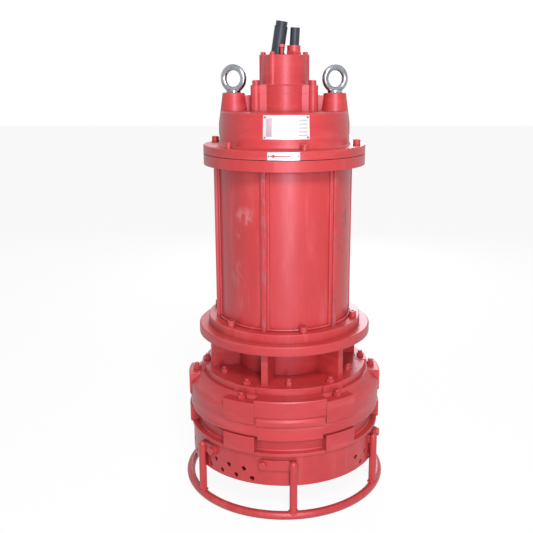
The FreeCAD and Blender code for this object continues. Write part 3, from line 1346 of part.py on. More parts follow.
# ---------------------------------------------------------------- rotor
def make_shaft():
    shaft = Solid("shaft")
    low, high = core_heights()
    ring = s.end_ring_height
    tip, eye, seal = s.shaft_tip_radius, s.shaft_impeller_radius, s.shaft_seal_radius
    seat, body = s.shaft_bearing_radius, s.shaft_body_radius
    core, upper, end = s.shaft_core_radius, s.shaft_upper_radius, s.shaft_end_radius
    start = Z_AGITATOR - s.nut_height - 5
    finish = Z_UPPER_BEARING + s.upper_bearing_height + 4
    shaft.revolve([
        (0, start), (tip - 2, start), (tip, start + 2), (tip, Z_AGITATOR_TOP),
        (eye, Z_AGITATOR_TOP), (eye, Z_IMPELLER_HUB_TOP), (seal, Z_IMPELLER_HUB_TOP),
        (seal, Z_LOWER_BEARING), (seat, Z_LOWER_BEARING),
        (seat, Z_LOWER_BEARING + s.lower_bearing_height),
        (body, Z_LOWER_BEARING + s.lower_bearing_height), (body, low - ring),
        (core, low - ring), (core, high + ring), (upper, high + ring),
        (upper, Z_UPPER_BEARING), (end, Z_UPPER_BEARING), (end, finish - 2), (end - 2, finish),
        (0, finish)])
    shaft.pad(lambda k: shaft.polygon(k, [
        (-4, -(eye + 1)), (4, -(eye + 1)), (4, -(eye - 4)), (-4, -(eye - 4))]),
        Z_IMPELLER_TOP - 40, Z_IMPELLER_TOP - 4, cut=True)
    key = Solid("impeller_key")
    key.pad(lambda k: key.polygon(k, [
        (-4, -(eye + 3.5)), (4, -(eye + 3.5)), (4, -(eye - 4)), (-4, -(eye - 4))]),
        Z_IMPELLER_TOP - 40, Z_IMPELLER_TOP - 4)


def make_rotor():
    low, high = core_heights()
    ring = s.end_ring_height
    core = tube(s.rotor_radius, s.shaft_core_radius, low, high)
    rings = [tube(s.rotor_radius - 3, s.shaft_core_radius + 14, near, near + ring)
             for near in (low - ring, high)]
    fin = Part.makeBox(4, 26, 12, Vector(-2, -(s.rotor_radius.value - 5), 0))
    fins = []
    for level in ((low - ring).value - 12, (high + ring).value):
        for angle in angles(NOTHING, as_size(8)):
            wing = fin.translated(Vector(0, 0, level))
            wing.rotate(ORIGIN, UP, angle)
            fins.append(wing)
    keep("rotor_core", core.fuse(rings + fins))


def spiral_blade(inner, outer, angle, thickness, low, high):
    """A blade whose camber line is a logarithmic spiral, raised between two heights."""
    slope = math.tan(math.radians(angle))
    total = math.log(outer / inner) / slope
    steps = 9
    sides = ([], [])
    for i in range(steps + 1):
        turn = total * i / steps
        radius = inner * math.exp(turn * slope)
        tangent = turn + math.radians(90 - angle)
        normal = Vector(-math.sin(tangent), math.cos(tangent), 0)
        taper = 0.55 + 0.45 * math.sin(math.pi * min(1.0, (i + 1) / 5) / 2)
        point = Vector(radius * math.cos(turn), radius * math.sin(turn), low)
        for side, points in zip((-1, 1), sides):
            points.append(point + normal * (side * thickness * taper / 2))
    curves = []
    for points in sides:
        curve = Part.BSplineCurve()
        curve.interpolate(points)
        curves.append(curve.toShape())
    ends = [Part.makeLine(sides[0][i], sides[1][i]) for i in (0, -1)]
    wire = Part.Wire(Part.__sortEdges__(curves + ends))
    return Part.Face(wire).extrude(Vector(0, 0, high - low))


def make_impeller():
    """Closed impeller: two shrouds, hub and spiral vanes that trail the clockwise turn."""
    low, high = Z_IMPELLER, Z_IMPELLER_TOP
    skin = s.shroud_thickness
    rim = s.impeller_radius
    eye = s.suction_radius + 2
    lower = tube(rim, eye, low, low + skin)
    lip = Part.makeCone(eye.value + 16, eye.value + 6, 3, Vector(0, 0, (low + skin).value))
    lip = lip.cut(Part.makeCylinder(eye.value, 12, Vector(0, 0, (low + skin).value - 1)))
    upper = tube(rim, s.shaft_impeller_radius, high - skin, high)
    hub = tube(s.impeller_hub_radius, s.shaft_impeller_radius, low + 6, Z_IMPELLER_HUB_TOP)
    blades = []
    count = int(round(s.vane_count.value))
    blade = spiral_blade(s.impeller_hub_radius.value + 14, rim.value + 6, s.vane_angle.value,
                         s.vane_thickness.value, (low + skin).value - 0.5,
                         (high - skin).value + 0.5)
    blade = blade.common(Part.makeCylinder(rim.value, (high - low).value, Vector(0, 0, low.value)))
    for i in range(count):
        copy = blade.copy()
        copy.rotate(ORIGIN, UP, 360.0 * i / count)
        blades.append(copy)
    key = Part.makeBox(8, 8, 36, Vector(-4, -s.shaft_impeller_radius.value - 3.5,
                                        high.value - 40))
    keep("impeller", upper.fuse([lower, lip, hub] + blades).cut(key))


def make_agitator():
    """Open stirring wheel under the suction eye, with swept blades."""
    low, high = Z_AGITATOR, Z_AGITATOR_TOP
    hub = tube(s.agitator_hub_radius, s.shaft_tip_radius, low, high)
    blade = spiral_blade(s.agitator_hub_radius.value - 3, s.agitator_radius.value + 4, 55.0,
                         s.agitator_blade_thickness.value, low.value + 2, high.value - 6)
    cone = Part.makeCone(s.agitator_radius.value, s.agitator_radius.value - 22,
                         s.agitator_height.value, Vector(0, 0, low.value))
    blade = blade.common(cone).cut(Part.makeCylinder(
        s.shaft_tip_radius.value + 2, s.agitator_height.value, Vector(0, 0, low.value)))
    count = int(round(s.agitator_blade_count.value))
    blades = []
    for i in range(count):
        copy = blade.copy()
        copy.rotate(ORIGIN, UP, 360.0 * i / count)
        blades.append(copy)
    keep("agitator", hub.fuse(blades))
    height = s.nut_height.value
    keep("agitator_nut", nut(50.0, s.shaft_tip_radius.value, low.value - height, low.value))
    base = (Z_IMPELLER + 6).value
    keep("impeller_nut", nut(64.0, s.shaft_impeller_radius.value, base - height, base))


# ---------------------------------------------------------------- seals and bearings
def make_seals():
    """Back-to-back face seals: one seat in each housing, one cartridge on the shaft."""
    shaft = s.shaft_seal_radius
    clear = shaft + 2
    seat = SEAL_SEAT - s.seat_gap
    low = Z_CASING_TOP - 4
    high = Z_CARRIER + 8
    seats = [tube(seat, clear, low, low + 10), tube(seat, clear, high - 10, high)]
    keep("seal_seats", Part.makeCompound(seats))
    sleeve = Solid("seal_cartridge")
    gap = 0.1
    near, far = low + 10 + gap, high - 10 - gap
    sleeve.revolve([
        (shaft, near), (seat - 4, near), (seat - 4, near + 8), (seat - 6, near + 8),
        (seat - 6, near + 26), (shaft + 6, near + 26), (shaft + 6, far - 26),
        (seat - 6, far - 26), (seat - 6, far - 8), (seat - 4, far - 8), (seat - 4, far),
        (shaft, far)])


def make_bearing(name, bore, outside, low, height):
    """Rings, rollers and a cage of one cylindrical roller bearing."""
    wall = s.bearing_ring_wall
    inner = Solid(f"{name}_inner_ring")
    inner.revolve([(bore, low), (bore + wall, low), (bore + wall, low + height),
                   (bore, low + height)])
    outer = Solid(f"{name}_outer_ring")
    outer.revolve([(outside - wall, low), (outside, low), (outside, low + height),
                   (outside - wall, low + height)])
    pitch = (bore + outside) / 2
    room = (outside - bore).value / 2 - wall.value
    roller_radius = room - 0.05
    web = s.cage_thickness.value
    bottom = low.value + 2
    top = low.value + height.value - 2
    roller = Part.makeCylinder(roller_radius, top - bottom - 2 * web, Vector(0, 0, bottom + web))
    group(f"{name}_rollers", roller, pitch, NOTHING, angles(NOTHING, s.roller_count))
    half = min(roller_radius - 2, 4.5)
    rings = [tube(pitch + half, pitch - half, as_size(z), as_size(z + web))
             for z in (bottom, top - web)]
    pillar = Part.makeCylinder(2.0, top - bottom, Vector(0, 0, bottom))
    step = 360.0 / int(round(s.roller_count.value))
    pillars = [at_angle(pillar, pitch, NOTHING, a + step / 2)
               for a in angles(NOTHING, s.roller_count)]
    keep(f"{name}_cage", rings[0].fuse([rings[1]] + pillars))


# ---------------------------------------------------------------- assembly
def build():
    make_legs(make_base_ring())
    make_straps()
    make_strap_bolts()
    make_strainer()
    make_suction_cover()
    make_casing()
    make_liners()
    make_lantern()
    make_seal_cover()
    make_bearing_carrier()
    make_motor_housing()
    make_housing_ribs()
    make_stator()
    make_top_cap()
    make_plates()
    make_terminal_base()
    make_cable_box()
    make_leads()
    make_eye_bolts()
    make_casing_fasteners()
    make_lantern_fasteners()
    make_flange_screws()
    make_oil_plug()
    make_shaft()
    make_rotor()
    make_impeller()
    make_agitator()
    make_seals()
    make_bearing("lower_bearing", s.shaft_bearing_radius, s.lower_bearing_outer_radius,
                 Z_LOWER_BEARING, s.lower_bearing_height)
    make_bearing("upper_bearing", s.shaft_end_radius, s.upper_bearing_outer_radius,
                 Z_UPPER_BEARING, s.upper_bearing_height)


def check_and_write():
    """Stop on any failed feature or bad shape, then write one STEP file per sub-part."""
    doc.recompute()
    for thing in doc.Objects:
        if "Invalid" in thing.State or "Error" in thing.State:
            raise RuntimeError(f"{thing.Label} did not recompute: {thing.State}")
    for part in written:
        shape = part.Shape
        if shape.isNull() or not shape.isValid():
            raise RuntimeError(f"{part.Label} has no valid shape")
    os.makedirs("parts", exist_ok=True)
    for part in written:
        part.Shape.exportStep(f"parts/{part.Label}.step")


build()
check_and_write()
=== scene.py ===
"""Submersible slurry pump, dressed and lit.

Metres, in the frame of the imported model: the shaft axis is Z, the floor is z = 0, the plates
face -Y and the discharge flange faces +Y.  Plan angles run from -Y towards +X.
"""
import math
import random

import bmesh
import bpy
from mathutils import Euler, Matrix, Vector


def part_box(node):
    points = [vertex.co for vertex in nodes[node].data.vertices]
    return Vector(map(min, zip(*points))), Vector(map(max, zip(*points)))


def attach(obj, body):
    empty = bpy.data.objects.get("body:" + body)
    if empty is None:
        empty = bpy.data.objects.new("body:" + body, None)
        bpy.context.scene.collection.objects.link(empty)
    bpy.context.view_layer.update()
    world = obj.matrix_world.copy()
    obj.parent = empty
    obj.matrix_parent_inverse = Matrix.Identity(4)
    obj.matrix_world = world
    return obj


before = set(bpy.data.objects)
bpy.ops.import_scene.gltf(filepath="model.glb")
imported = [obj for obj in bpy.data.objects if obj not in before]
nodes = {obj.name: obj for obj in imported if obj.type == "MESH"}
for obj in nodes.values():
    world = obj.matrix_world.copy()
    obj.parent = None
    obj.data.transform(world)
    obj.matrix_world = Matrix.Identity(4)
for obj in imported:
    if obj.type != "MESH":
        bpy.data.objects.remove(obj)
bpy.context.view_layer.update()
MM = 0.001
TUBE_RADIUS = 174 * MM
RIM_RADIUS = 210 * MM


# ---------------------------------------------------------------- placing
def plan(angle, radius, height):
    """A point at a plan angle (degrees), radius and height."""
    turn = math.radians(angle)
    return Vector((radius * math.sin(turn), -radius * math.cos(turn), height))


def outward(angle):
    """The unit direction of a plan angle."""
    return plan(angle, 1.0, 0.0)


# ---------------------------------------------------------------- materials
class Paint:
    """A node material with short ways to add its nodes."""

    def __init__(self, name):
        self.material = bpy.data.materials.new(name)
        self.material.use_nodes = True
        self.tree = self.material.node_tree
        self.tree.nodes.clear()
        self.out = self.add("ShaderNodeOutputMaterial")
        self.shader = self.add("ShaderNodeBsdfPrincipled")
        self.link(self.shader, "BSDF", self.out, "Surface")
        self.place = self.add("ShaderNodeTexCoord")

    def add(self, kind, **values):
        node = self.tree.nodes.new(kind)
        for key, value in values.items():
            setattr(node, key, value)
        return node

    def link(self, source, output, target, socket):
        self.tree.links.new(source.outputs[output], target.inputs[socket])

    def noise(self, scale, detail=3.0, roughness=0.5, stretch=None, distortion=0.0):
        node = self.add("ShaderNodeTexNoise")
        node.inputs["Scale"].default_value = scale
        node.inputs["Detail"].default_value = detail
        node.inputs["Roughness"].default_value = roughness
        node.inputs["Distortion"].default_value = distortion
        self.link(self.mapped(stretch), "Vector", node, "Vector")
        return node, "Fac"

    def mapped(self, stretch=None):
        """Object coordinates, scaled along each axis."""
        node = self.add("ShaderNodeMapping")
        node.inputs["Scale"].default_value = stretch or (1, 1, 1)
        self.link(self.place, "Object", node, "Vector")
        return node

    def ramp(self, source, stops):
        """stops: (position, value or colour)."""
        node = self.add("ShaderNodeValToRGB")
        ramp = node.color_ramp
        while len(ramp.elements) < len(stops):
            ramp.elements.new(0.5)
        for element, (position, value) in zip(ramp.elements, stops):
            element.position = position
            element.color = (*value, 1) if isinstance(value, tuple) else (value, value, value, 1)
        self.link(*source, node, "Fac")
        return node, "Color"

    def mix(self, factor, first, second):
        """Colours or (node, output) pairs, mixed by a number or a (node, output) pair."""
        node = self.add("ShaderNodeMix", data_type="RGBA")
        for socket, value in ((0, factor), (6, first), (7, second)):
            if isinstance(value, tuple) and isinstance(value[0], bpy.types.Node):
                self.tree.links.new(value[0].outputs[value[1]], node.inputs[socket])
            elif isinstance(value, tuple):
                node.inputs[socket].default_value = (*value, 1)
            else:
                node.inputs[socket].default_value = value
        return node, 2

    def math(self, operation, first, second):
        """Numbers or (node, output) pairs."""
        node = self.add("ShaderNodeMath", operation=operation)
        for i, value in enumerate((first, second)):
            if isinstance(value, tuple):
                self.tree.links.new(value[0].outputs[value[1]], node.inputs[i])
            else:
                node.inputs[i].default_value = value
        return node, "Value"

    def set(self, socket, value):
        """A number, a colour or a (node, output) pair for a socket of the shader."""
        if isinstance(value, tuple) and isinstance(value[0], bpy.types.Node):
            self.tree.links.new(value[0].outputs[value[1]], self.shader.inputs[socket])
        elif isinstance(value, tuple):
            self.shader.inputs[socket].default_value = (*value, 1)
        else:
            self.shader.inputs[socket].default_value = value

    def bump(self, *layers, edge=0.0):
        """Stacked bumps, each (source, depth in metres, strength); edge rounds corners."""
        last = None
        if edge:
            last = self.add("ShaderNodeBevel", samples=6)
            last.inputs["Radius"].default_value = edge
        for source, depth, strength in layers:
            node = self.add("ShaderNodeBump")
            node.inputs["Distance"].default_value = depth
            node.inputs["Strength"].default_value = strength
            self.tree.links.new(source[0].outputs[source[1]], node.inputs["Height"])
            if last is not None:
                self.link(last, "Normal", node, "Normal")
            last = node
        if last is not None:
            self.link(last, "Normal", self.shader, "Normal")


RED = (0.600, 0.048, 0.047)
RED_DEEP = (0.430, 0.028, 0.030)
RED_PALE = (0.760, 0.150, 0.150)
# a dark dirty red, used both for scuffs of dirt and for painted shade in corners and recesses
DIRT_AND_SHADE = (0.150, 0.040, 0.040)
CHALK = (0.72, 0.33, 0.33)
SCRAPE = (0.09, 0.045, 0.05)
UNDERCOAT = (0.30, 0.17, 0.21)


def smooth_step(p, value, low, high):
    """0 below low, 1 above high, eased between."""
    node = p.add("ShaderNodeMapRange", interpolation_type="SMOOTHSTEP")
    node.inputs["From Min"].default_value = low
    node.inputs["From Max"].default_value = high
    p.link(value[0], value[1], node, "Value")
    return node, "Result"


def open_edges(p, radius):
    """1 on convex edges and corners of the solid, 0 on its flat and hollow places; the mask of a
    painted highlight on the edges.
    """
    bevel = p.add("ShaderNodeBevel", samples=6)
    bevel.inputs["Radius"].default_value = radius
    geometry = p.add("ShaderNodeNewGeometry")
    dot = p.add("ShaderNodeVectorMath", operation="DOT_PRODUCT")
    p.link(bevel, "Normal", dot, 0)
    p.link(geometry, "Normal", dot, 1)
    return smooth_step(p, (dot, "Value"), 0.985, 0.86)


def crevice_shade(p, distance):
    """1 where other surfaces stand close, 0 in the open; the mask of painted shade in corners and
    recesses.
    """
    shade = p.add("ShaderNodeAmbientOcclusion", samples=6)
    shade.inputs["Distance"].default_value = distance
    return smooth_step(p, (shade, "AO"), 0.80, 0.25)


def red_paint(name, coarse=1.0, gloss=0.44, dirt=0.35, rough_cast=0.6, edge=1.6 * MM,
              strokes=(1.0, 1.0, 0.16), extra=None):
    """Brushed-on satin enamel: patchy depth, strokes, scuffs of dirt, painted shade in the
    corners, a painted highlight on convex edges.
    """
    p = Paint(name)
    patches = p.noise(7 * coarse, 4, 0.6)
    streaks = p.noise(30, 4, 0.6, stretch=strokes)
    fine = p.noise(170, 3, 0.6)
    colour = p.mix(p.ramp(patches, [(0.30, 0.42), (0.62, 0.0)]), RED, RED_DEEP)
    colour = p.mix(p.ramp(streaks, [(0.52, 0.0), (0.82, 0.50)]), colour, RED_PALE)
    colour = p.mix(p.ramp(streaks, [(0.22, 0.45), (0.44, 0.0)]), colour, RED_DEEP)
    scuffs = p.noise(55, 6, 0.72, distortion=0.6)
    mask = p.ramp(scuffs, [(0.66, 0.0), (0.72, 1.0)])
    colour = p.mix(p.math("MULTIPLY", mask, dirt), colour, DIRT_AND_SHADE)
    # painted shade: the paint turns dark red in corners and recesses, where other surfaces stand
    # close
    colour = p.mix(p.math("MULTIPLY", crevice_shade(p, 22 * MM), 0.55), colour, DIRT_AND_SHADE)
    # painted highlight: paler red on convex edges and corners
    colour = p.mix(p.math("MULTIPLY", open_edges(p, edge * 1.3), 0.30), colour, RED_PALE)
    if extra:
        colour = extra(p, colour)
    p.set("Base Color", colour)
    rough = p.math("ADD", p.math("MULTIPLY", fine, 0.12),
                   p.math("MULTIPLY", patches, 0.18))
    p.set("Roughness", p.math("ADD", rough, gloss - 0.15))
    p.shader.inputs["Specular IOR Level"].default_value = 0.62
    p.shader.inputs["Specular Tint"].default_value = (1.0, 0.82, 1.0, 1)
    p.shader.inputs["Coat Weight"].default_value = 0.16
    p.shader.inputs["Coat Roughness"].default_value = 0.32
    skin = p.noise(90, 4, 0.55)
    lumps = p.noise(22, 2, 0.5)
    p.bump((lumps, 1.2 * MM, 0.30 * rough_cast), (skin, 0.5 * MM, 0.38 * rough_cast), edge=edge)
    return p.material


def plain(name, colour, rough, metal=0.0, grain=120, depth=0.2 * MM, strength=0.3, tint=0.25,
          edge=0.8 * MM, stretch=None):
    """A material with some mottling in colour, roughness and surface."""
    p = Paint(name)
    mottle = p.noise(grain * 0.25, 3, 0.6, stretch=stretch)
    fine = p.noise(grain, 4, 0.6, stretch=stretch)
    dark = tuple(c * (1 - tint) for c in colour)
    p.set("Base Color", p.mix(p.ramp(mottle, [(0.3, 0.0), (0.7, 1.0)]), dark, colour))
    p.set("Roughness", p.math("ADD", p.math("MULTIPLY", fine, 0.18), rough - 0.09))
    p.set("Metallic", metal)
    p.bump((fine, depth, strength), edge=edge)
    return p.material


def spot(p, angle, height, size):
    """1 inside an upright oval on the motor tube, fading to 0 at its rim."""
    shift = p.add("ShaderNodeMapping", vector_type="TEXTURE")
    shift.inputs["Location"].default_value = plan(angle, TUBE_RADIUS, height * MM)
    shift.inputs["Scale"].default_value = size
    p.link(p.place, "Object", shift, "Vector")
    reach = p.add("ShaderNodeVectorMath", operation="LENGTH")
    p.link(shift, "Vector", reach, 0)
    return smooth_step(p, (reach, "Value"), 1.0, 0.35)


# plan angle in degrees, height in mm, half sizes in metres, depth, colour
TUBE_MARKS = (
    (-34, 765, (0.035, 0.05, 0.030), 0.55, CHALK),
    (-38, 720, (0.03, 0.05, 0.02), 0.35, CHALK),
    (-43, 585, (0.03, 0.05, 0.09), 0.25, CHALK),
    (61, 745, (0.016, 0.05, 0.045), 0.85, SCRAPE),
    (58, 690, (0.014, 0.05, 0.05), 0.65, SCRAPE),
    (-48, 560, (0.02, 0.05, 0.06), 0.35, SCRAPE),
)


def tube_marks(p, colour):
    """Chalky rubs and dark scrapes on the motor tube."""
    ragged = p.ramp(p.noise(46, 6, 0.75, stretch=(1, 1, 0.55)), [(0.47, 0.0), (0.60, 1.0)])
    for angle, height, size, depth, mark in TUBE_MARKS:
        mask = p.math("MULTIPLY", spot(p, angle, height, size), ragged)
        colour = p.mix(p.math("MULTIPLY", mask, depth), colour, mark)
    return colour


def rib_marks(p, colour):
    """Paint worn to a grey undercoat along the outer edges of the flat bars."""
    flat = p.add("ShaderNodeVectorMath", operation="MULTIPLY")
    flat.inputs[1].default_value = (1, 1, 0)
    p.link(p.place, "Object", flat, 0)
    reach = p.add("ShaderNodeVectorMath", operation="LENGTH")
    p.link(flat, "Vector", reach, 0)
    outer = smooth_step(p, (reach, "Value"), 183 * MM, 185.5 * MM)
    chips = p.ramp(p.noise(80, 5, 0.75, stretch=(1, 1, 0.30)), [(0.50, 0.0), (0.60, 1.0)])
    mask = p.math("MULTIPLY", outer, chips)
    return p.mix(p.math("MULTIPLY", mask, 0.62), colour, UNDERCOAT)


PAINT_CAST = red_paint("paint_on_casting", coarse=1.0, rough_cast=1.0, dirt=0.5,
                       strokes=(0.22, 0.22, 1.3))
PAINT_SMOOTH = red_paint("paint_on_tube", coarse=0.6, gloss=0.42, rough_cast=0.45, dirt=0.3,
                         extra=tube_marks)
PAINT_RIB = red_paint("paint_on_ribs", coarse=2.0, gloss=0.42, rough_cast=0.7, dirt=0.6,
                      extra=rib_marks)
PAINT_SMALL = red_paint("paint_on_fasteners", coarse=4.0, gloss=0.40, rough_cast=0.8, dirt=0.8,
                        edge=0.7 * MM)
PAINT_FRAME = red_paint("paint_on_frame", coarse=2.0, gloss=0.40, rough_cast=0.8, dirt=0.7)
ZINC = plain("bright_zinc", (0.46, 0.47, 0.52), 0.24, metal=1.0, grain=120, strength=0.3,
             tint=0.5)
STEEL = plain("machined_steel", (0.58, 0.58, 0.59), 0.30, metal=1.0, grain=150, strength=0.15)
IRON = plain("hard_iron", (0.24, 0.235, 0.23), 0.58, metal=0.6, grain=60, strength=0.5)
CORE = plain("laminated_core", (0.34, 0.35, 0.38), 0.42, metal=0.8, grain=400, strength=0.4,
             stretch=(0.02, 0.02, 1.0))
COPPER = plain("varnished_copper", (0.55, 0.22, 0.09), 0.35, metal=0.7, grain=90, strength=0.5)
BRASS = plain("turned_brass", (0.62, 0.46, 0.19), 0.28, metal=1.0, grain=120, strength=0.1)
RUBBER = plain("slate_rubber", (0.026, 0.034, 0.050), 0.42, grain=90, strength=0.5, tint=0.4)
GASKET = plain("gasket_sheet", (0.05, 0.05, 0.05), 0.75, grain=160)
RESIN = plain("moulded_resin", (0.045, 0.048, 0.055), 0.45, grain=110)
CARBIDE = plain("lapped_carbide", (0.10, 0.10, 0.11), 0.18, metal=0.3, grain=300)
PLATE = plain("plate_aluminium", (0.80, 0.80, 0.82), 0.36, metal=0.25, grain=240, strength=0.08,
              tint=0.08, stretch=(1.0, 1.0, 0.1))

LOOKS = {
    "pump_casing": PAINT_CAST, "suction_cover": PAINT_CAST, "oil_lantern": PAINT_CAST,
    "top_cap": PAINT_CAST, "terminal_base": PAINT_CAST, "cable_box": PAINT_CAST,
    "motor_housing": PAINT_SMOOTH, "housing_ribs": PAINT_RIB,
    "strainer_drum": PAINT_FRAME, "base_ring": PAINT_FRAME, "base_legs": PAINT_FRAME,
    "leg_straps": PAINT_FRAME,
    "eye_bolts": ZINC, "plate_rivets": ZINC,
    "shaft": STEEL, "impeller_key": STEEL, "agitator_nut": STEEL, "impeller_nut": STEEL,
    "strainer_screws": STEEL,
    "lower_bearing_inner_ring": STEEL, "lower_bearing_outer_ring": STEEL,
    "lower_bearing_rollers": STEEL, "upper_bearing_inner_ring": STEEL,
    "upper_bearing_outer_ring": STEEL, "upper_bearing_rollers": STEEL,
    "impeller": IRON, "agitator": IRON, "suction_liner": IRON, "back_liner": IRON,
    "seal_cover": IRON, "bearing_carrier": IRON, "lower_bearing_cover": IRON,
    "stator_core": CORE, "rotor_core": CORE, "stator_windings": COPPER,
    "lower_bearing_cage": BRASS, "upper_bearing_cage": BRASS, "terminal_posts": BRASS,
    "power_lead_sleeve": RUBBER, "control_lead_sleeve": RUBBER, "lead_grommet": RUBBER,
    "casing_gasket": GASKET, "cap_gasket": GASKET,
    "terminal_board": RESIN,
    "seal_seats": CARBIDE, "seal_cartridge": CARBIDE,
    "nameplate": PLATE, "arrow_plate": PLATE,
}

for name, node in nodes.items():
    look = LOOKS.get(name, PAINT_SMALL)
    node.data.materials.clear()
    node.data.materials.append(look)


# ---------------------------------------------------------------- making pieces
def piece(name, points, faces, material, body="pump", smooth=True):
    """A mesh piece that rides on a body."""
    mesh = bpy.data.meshes.new(name)
    mesh.from_pydata([tuple(v) for v in points], [], faces)
    build = bmesh.new()
    build.from_mesh(mesh)
    bmesh.ops.recalc_face_normals(build, faces=build.faces)
    build.to_mesh(mesh)
    build.free()
    mesh.polygons.foreach_set("use_smooth", [smooth] * len(mesh.polygons))
    mesh.materials.append(material)
    obj = bpy.data.objects.new(name, mesh)
    bpy.context.collection.objects.link(obj)
    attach(obj, body)
    return obj


class Heap:
    """Collects several solids into one piece."""

    def __init__(self):
        self.points, self.faces = [], []

    def add(self, points, faces):
        start = len(self.points)
        self.points += points
        self.faces += [tuple(i + start for i in face) for face in faces]

    def tube(self, rings, closed=False):
        """Skins equal rings of points, capped unless closed."""
        count, size = len(rings), len(rings[0])
        points = [p for ring in rings for p in ring]
        faces = []
        for i in range(count if closed else count - 1):
            near, far = i * size, (i + 1) % count * size
            faces += [(near + j, near + (j + 1) % size, far + (j + 1) % size, far + j)
                      for j in range(size)]
        if not closed:
            faces += [tuple(range(size)), tuple(range((count - 1) * size, count * size))]
        self.add(points, faces)


def bead_rings(path, radius, pitch, seed, closed=False, sides=8):
    """Rings of a hand-laid weld bead along a path of points."""
    dice = random.Random(seed)
    rings, run = [], 0.0
    count = len(path)
    for i, point in enumerate(path):
        ahead = path[(i + 1) % count] if closed or i < count - 1 else point
        behind = path[i - 1] if closed or i > 0 else point
        way = (ahead - behind).normalized()
        side = way.cross(Vector((0, 0, 1)))
        if side.length < 0.2:
            side = way.cross(Vector((point.y, -point.x, 0)))
        side.normalize()
        over = way.cross(side)
        swell = radius * (1 + 0.14 * math.sin(run / pitch * math.tau) + dice.uniform(-0.09, 0.09))
        rings.append([point + side * (swell * math.cos(math.tau * j / sides))
                      + over * (swell * math.sin(math.tau * j / sides)) for j in range(sides)])
        run += (ahead - point).length
    return rings


def circle_path(radius, height, count):
    """Points round the shaft axis."""
    return [plan(360 * i / count, radius, height) for i in range(count)]


# ---------------------------------------------------------------- welds
MOTOR_LOW, MOTOR_HIGH = (corner.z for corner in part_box("housing_ribs"))
RIB_ANGLES = [-16 + 60 * k for k in range(6)]


def make_rib_welds():
    """A fillet weld down both sides of every flat bar on the motor tube."""
    heap = Heap()
    for number, angle in enumerate(RIB_ANGLES):
        for side in (-1, 1):
            offset = side * math.degrees(9.2 * MM / TUBE_RADIUS)
            steps = 150
            low, high = MOTOR_LOW + 3 * MM, MOTOR_HIGH - 3 * MM
            path = [plan(angle + offset, TUBE_RADIUS + 1.6 * MM, low + (high - low) * i / steps)
                    for i in range(steps + 1)]
            heap.tube(bead_rings(path, 3.4 * MM, 7 * MM, number * 2 + side))
    piece("rib_welds", heap.points, heap.faces, PAINT_SMALL)


def make_flange_welds():
    """Ring welds where the tube meets its foot and head."""
    heap = Heap()
    for number, (height, radius) in enumerate(((MOTOR_LOW + 2.5 * MM, TUBE_RADIUS + 3 * MM),
                                               (MOTOR_HIGH - 2 * MM, TUBE_RADIUS + 2 * MM))):
        heap.tube(bead_rings(circle_path(radius, height, 260), 3.6 * MM, 8 * MM, 40 + number,
                             closed=True), closed=True)
    piece("flange_welds", heap.points, heap.faces, PAINT_SMALL)


LEG_ANGLES = [5 + 60 * k for k in range(6)]
LEG_CIRCLE = 266.3 * MM
LEG_COLLAR = 10.6 * MM
BASE_BAR_TOP = 22 * MM
STRAP_LOW, STRAP_WELD = 137, 22


def make_leg_welds():
    """A collar of weld where each leg stands on the base ring, and one at its strap."""
    heap = Heap()
    for number, angle in enumerate(LEG_ANGLES):
        centre = plan(angle, LEG_CIRCLE, 0)
        path = []
        along = Vector((math.cos(math.radians(angle)), math.sin(math.radians(angle)), 0))
        for i in range(28):
            turn = math.tau * i / 28
            across = LEG_COLLAR * math.cos(turn)
            height = BASE_BAR_TOP - 0.9 * across ** 2 / BASE_BAR_TOP
            path.append(centre + outward(angle) * across
                        + along * (LEG_COLLAR * math.sin(turn)) + Vector((0, 0, height)))
        heap.tube(bead_rings(path, 2.8 * MM, 6 * MM, 60 + number, closed=True), closed=True)
        for side in (-1, 1):
            on_strap = side == (-1 if number == 0 else 1)
            reach = 265.2 * MM if on_strap else 257.4 * MM
            path = [plan(angle + side * math.degrees(9.6 * MM / LEG_CIRCLE), reach,
                         (STRAP_LOW + STRAP_WELD * i / 10) * MM) for i in range(11)]
            heap.tube(bead_rings(path, 2.4 * MM, 6 * MM, 80 + number * 2 + side))
    piece("leg_welds", heap.points, heap.faces, PAINT_FRAME)


# ---------------------------------------------------------------- threads
STUD_RADIUS = 5.8 * MM
THREAD_PITCH = 1.75 * MM
THREAD_DEPTH = 0.33  # share of the pitch


def thread_rings(centre, radius, pitch, low, high):
    """A helical ridge round a vertical stud."""
    turns = (high - low) / pitch
    steps = max(12, int(turns * 18))
    rings = []
    for i in range(steps + 1):
        part = i / steps
        turn = math.tau * turns * part
        height = low + (high - low) * part
        fade = min(1.0, part * steps / 6, (1 - part) * steps / 6)
        way = Vector((math.cos(turn), math.sin(turn), 0))
        root = centre + way * (radius - 0.3 * MM)
        reach = radius + 0.12 * MM + THREAD_DEPTH * pitch * fade
        rings.append([root + Vector((0, 0, height - pitch * 0.42)),
                      centre + way * reach + Vector((0, 0, height)),
                      root + Vector((0, 0, height + pitch * 0.42))])
    return rings


def make_threads():
    """Threads on the stud ends that stand out of their nuts."""
    heap = Heap()
    tip = {name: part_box(name)[1].z for name in ("casing_studs", "lantern_studs")}
    # first plan angle, radius of the circle in mm, foot and end of the thread
    families = ((-26.5, 243, tip["casing_studs"] - 6.5 * MM, tip["casing_studs"] - 1.8 * MM),
                (-26.5, 213, tip["lantern_studs"] - 5.5 * MM, tip["lantern_studs"] - 1.8 * MM),
                (3.5, 190, tip["lantern_studs"] - 6.5 * MM, tip["lantern_studs"] - 2.8 * MM),
                (-26.5, 243, 223 * MM, 240 * MM))
    for first, circle, low, high in families:
        for k in range(6):
            centre = plan(first + 60 * k, circle * MM, 0)
            heap.tube(thread_rings(centre, STUD_RADIUS, THREAD_PITCH, low, high))
    piece("stud_threads", heap.points, heap.faces, PAINT_SMALL)


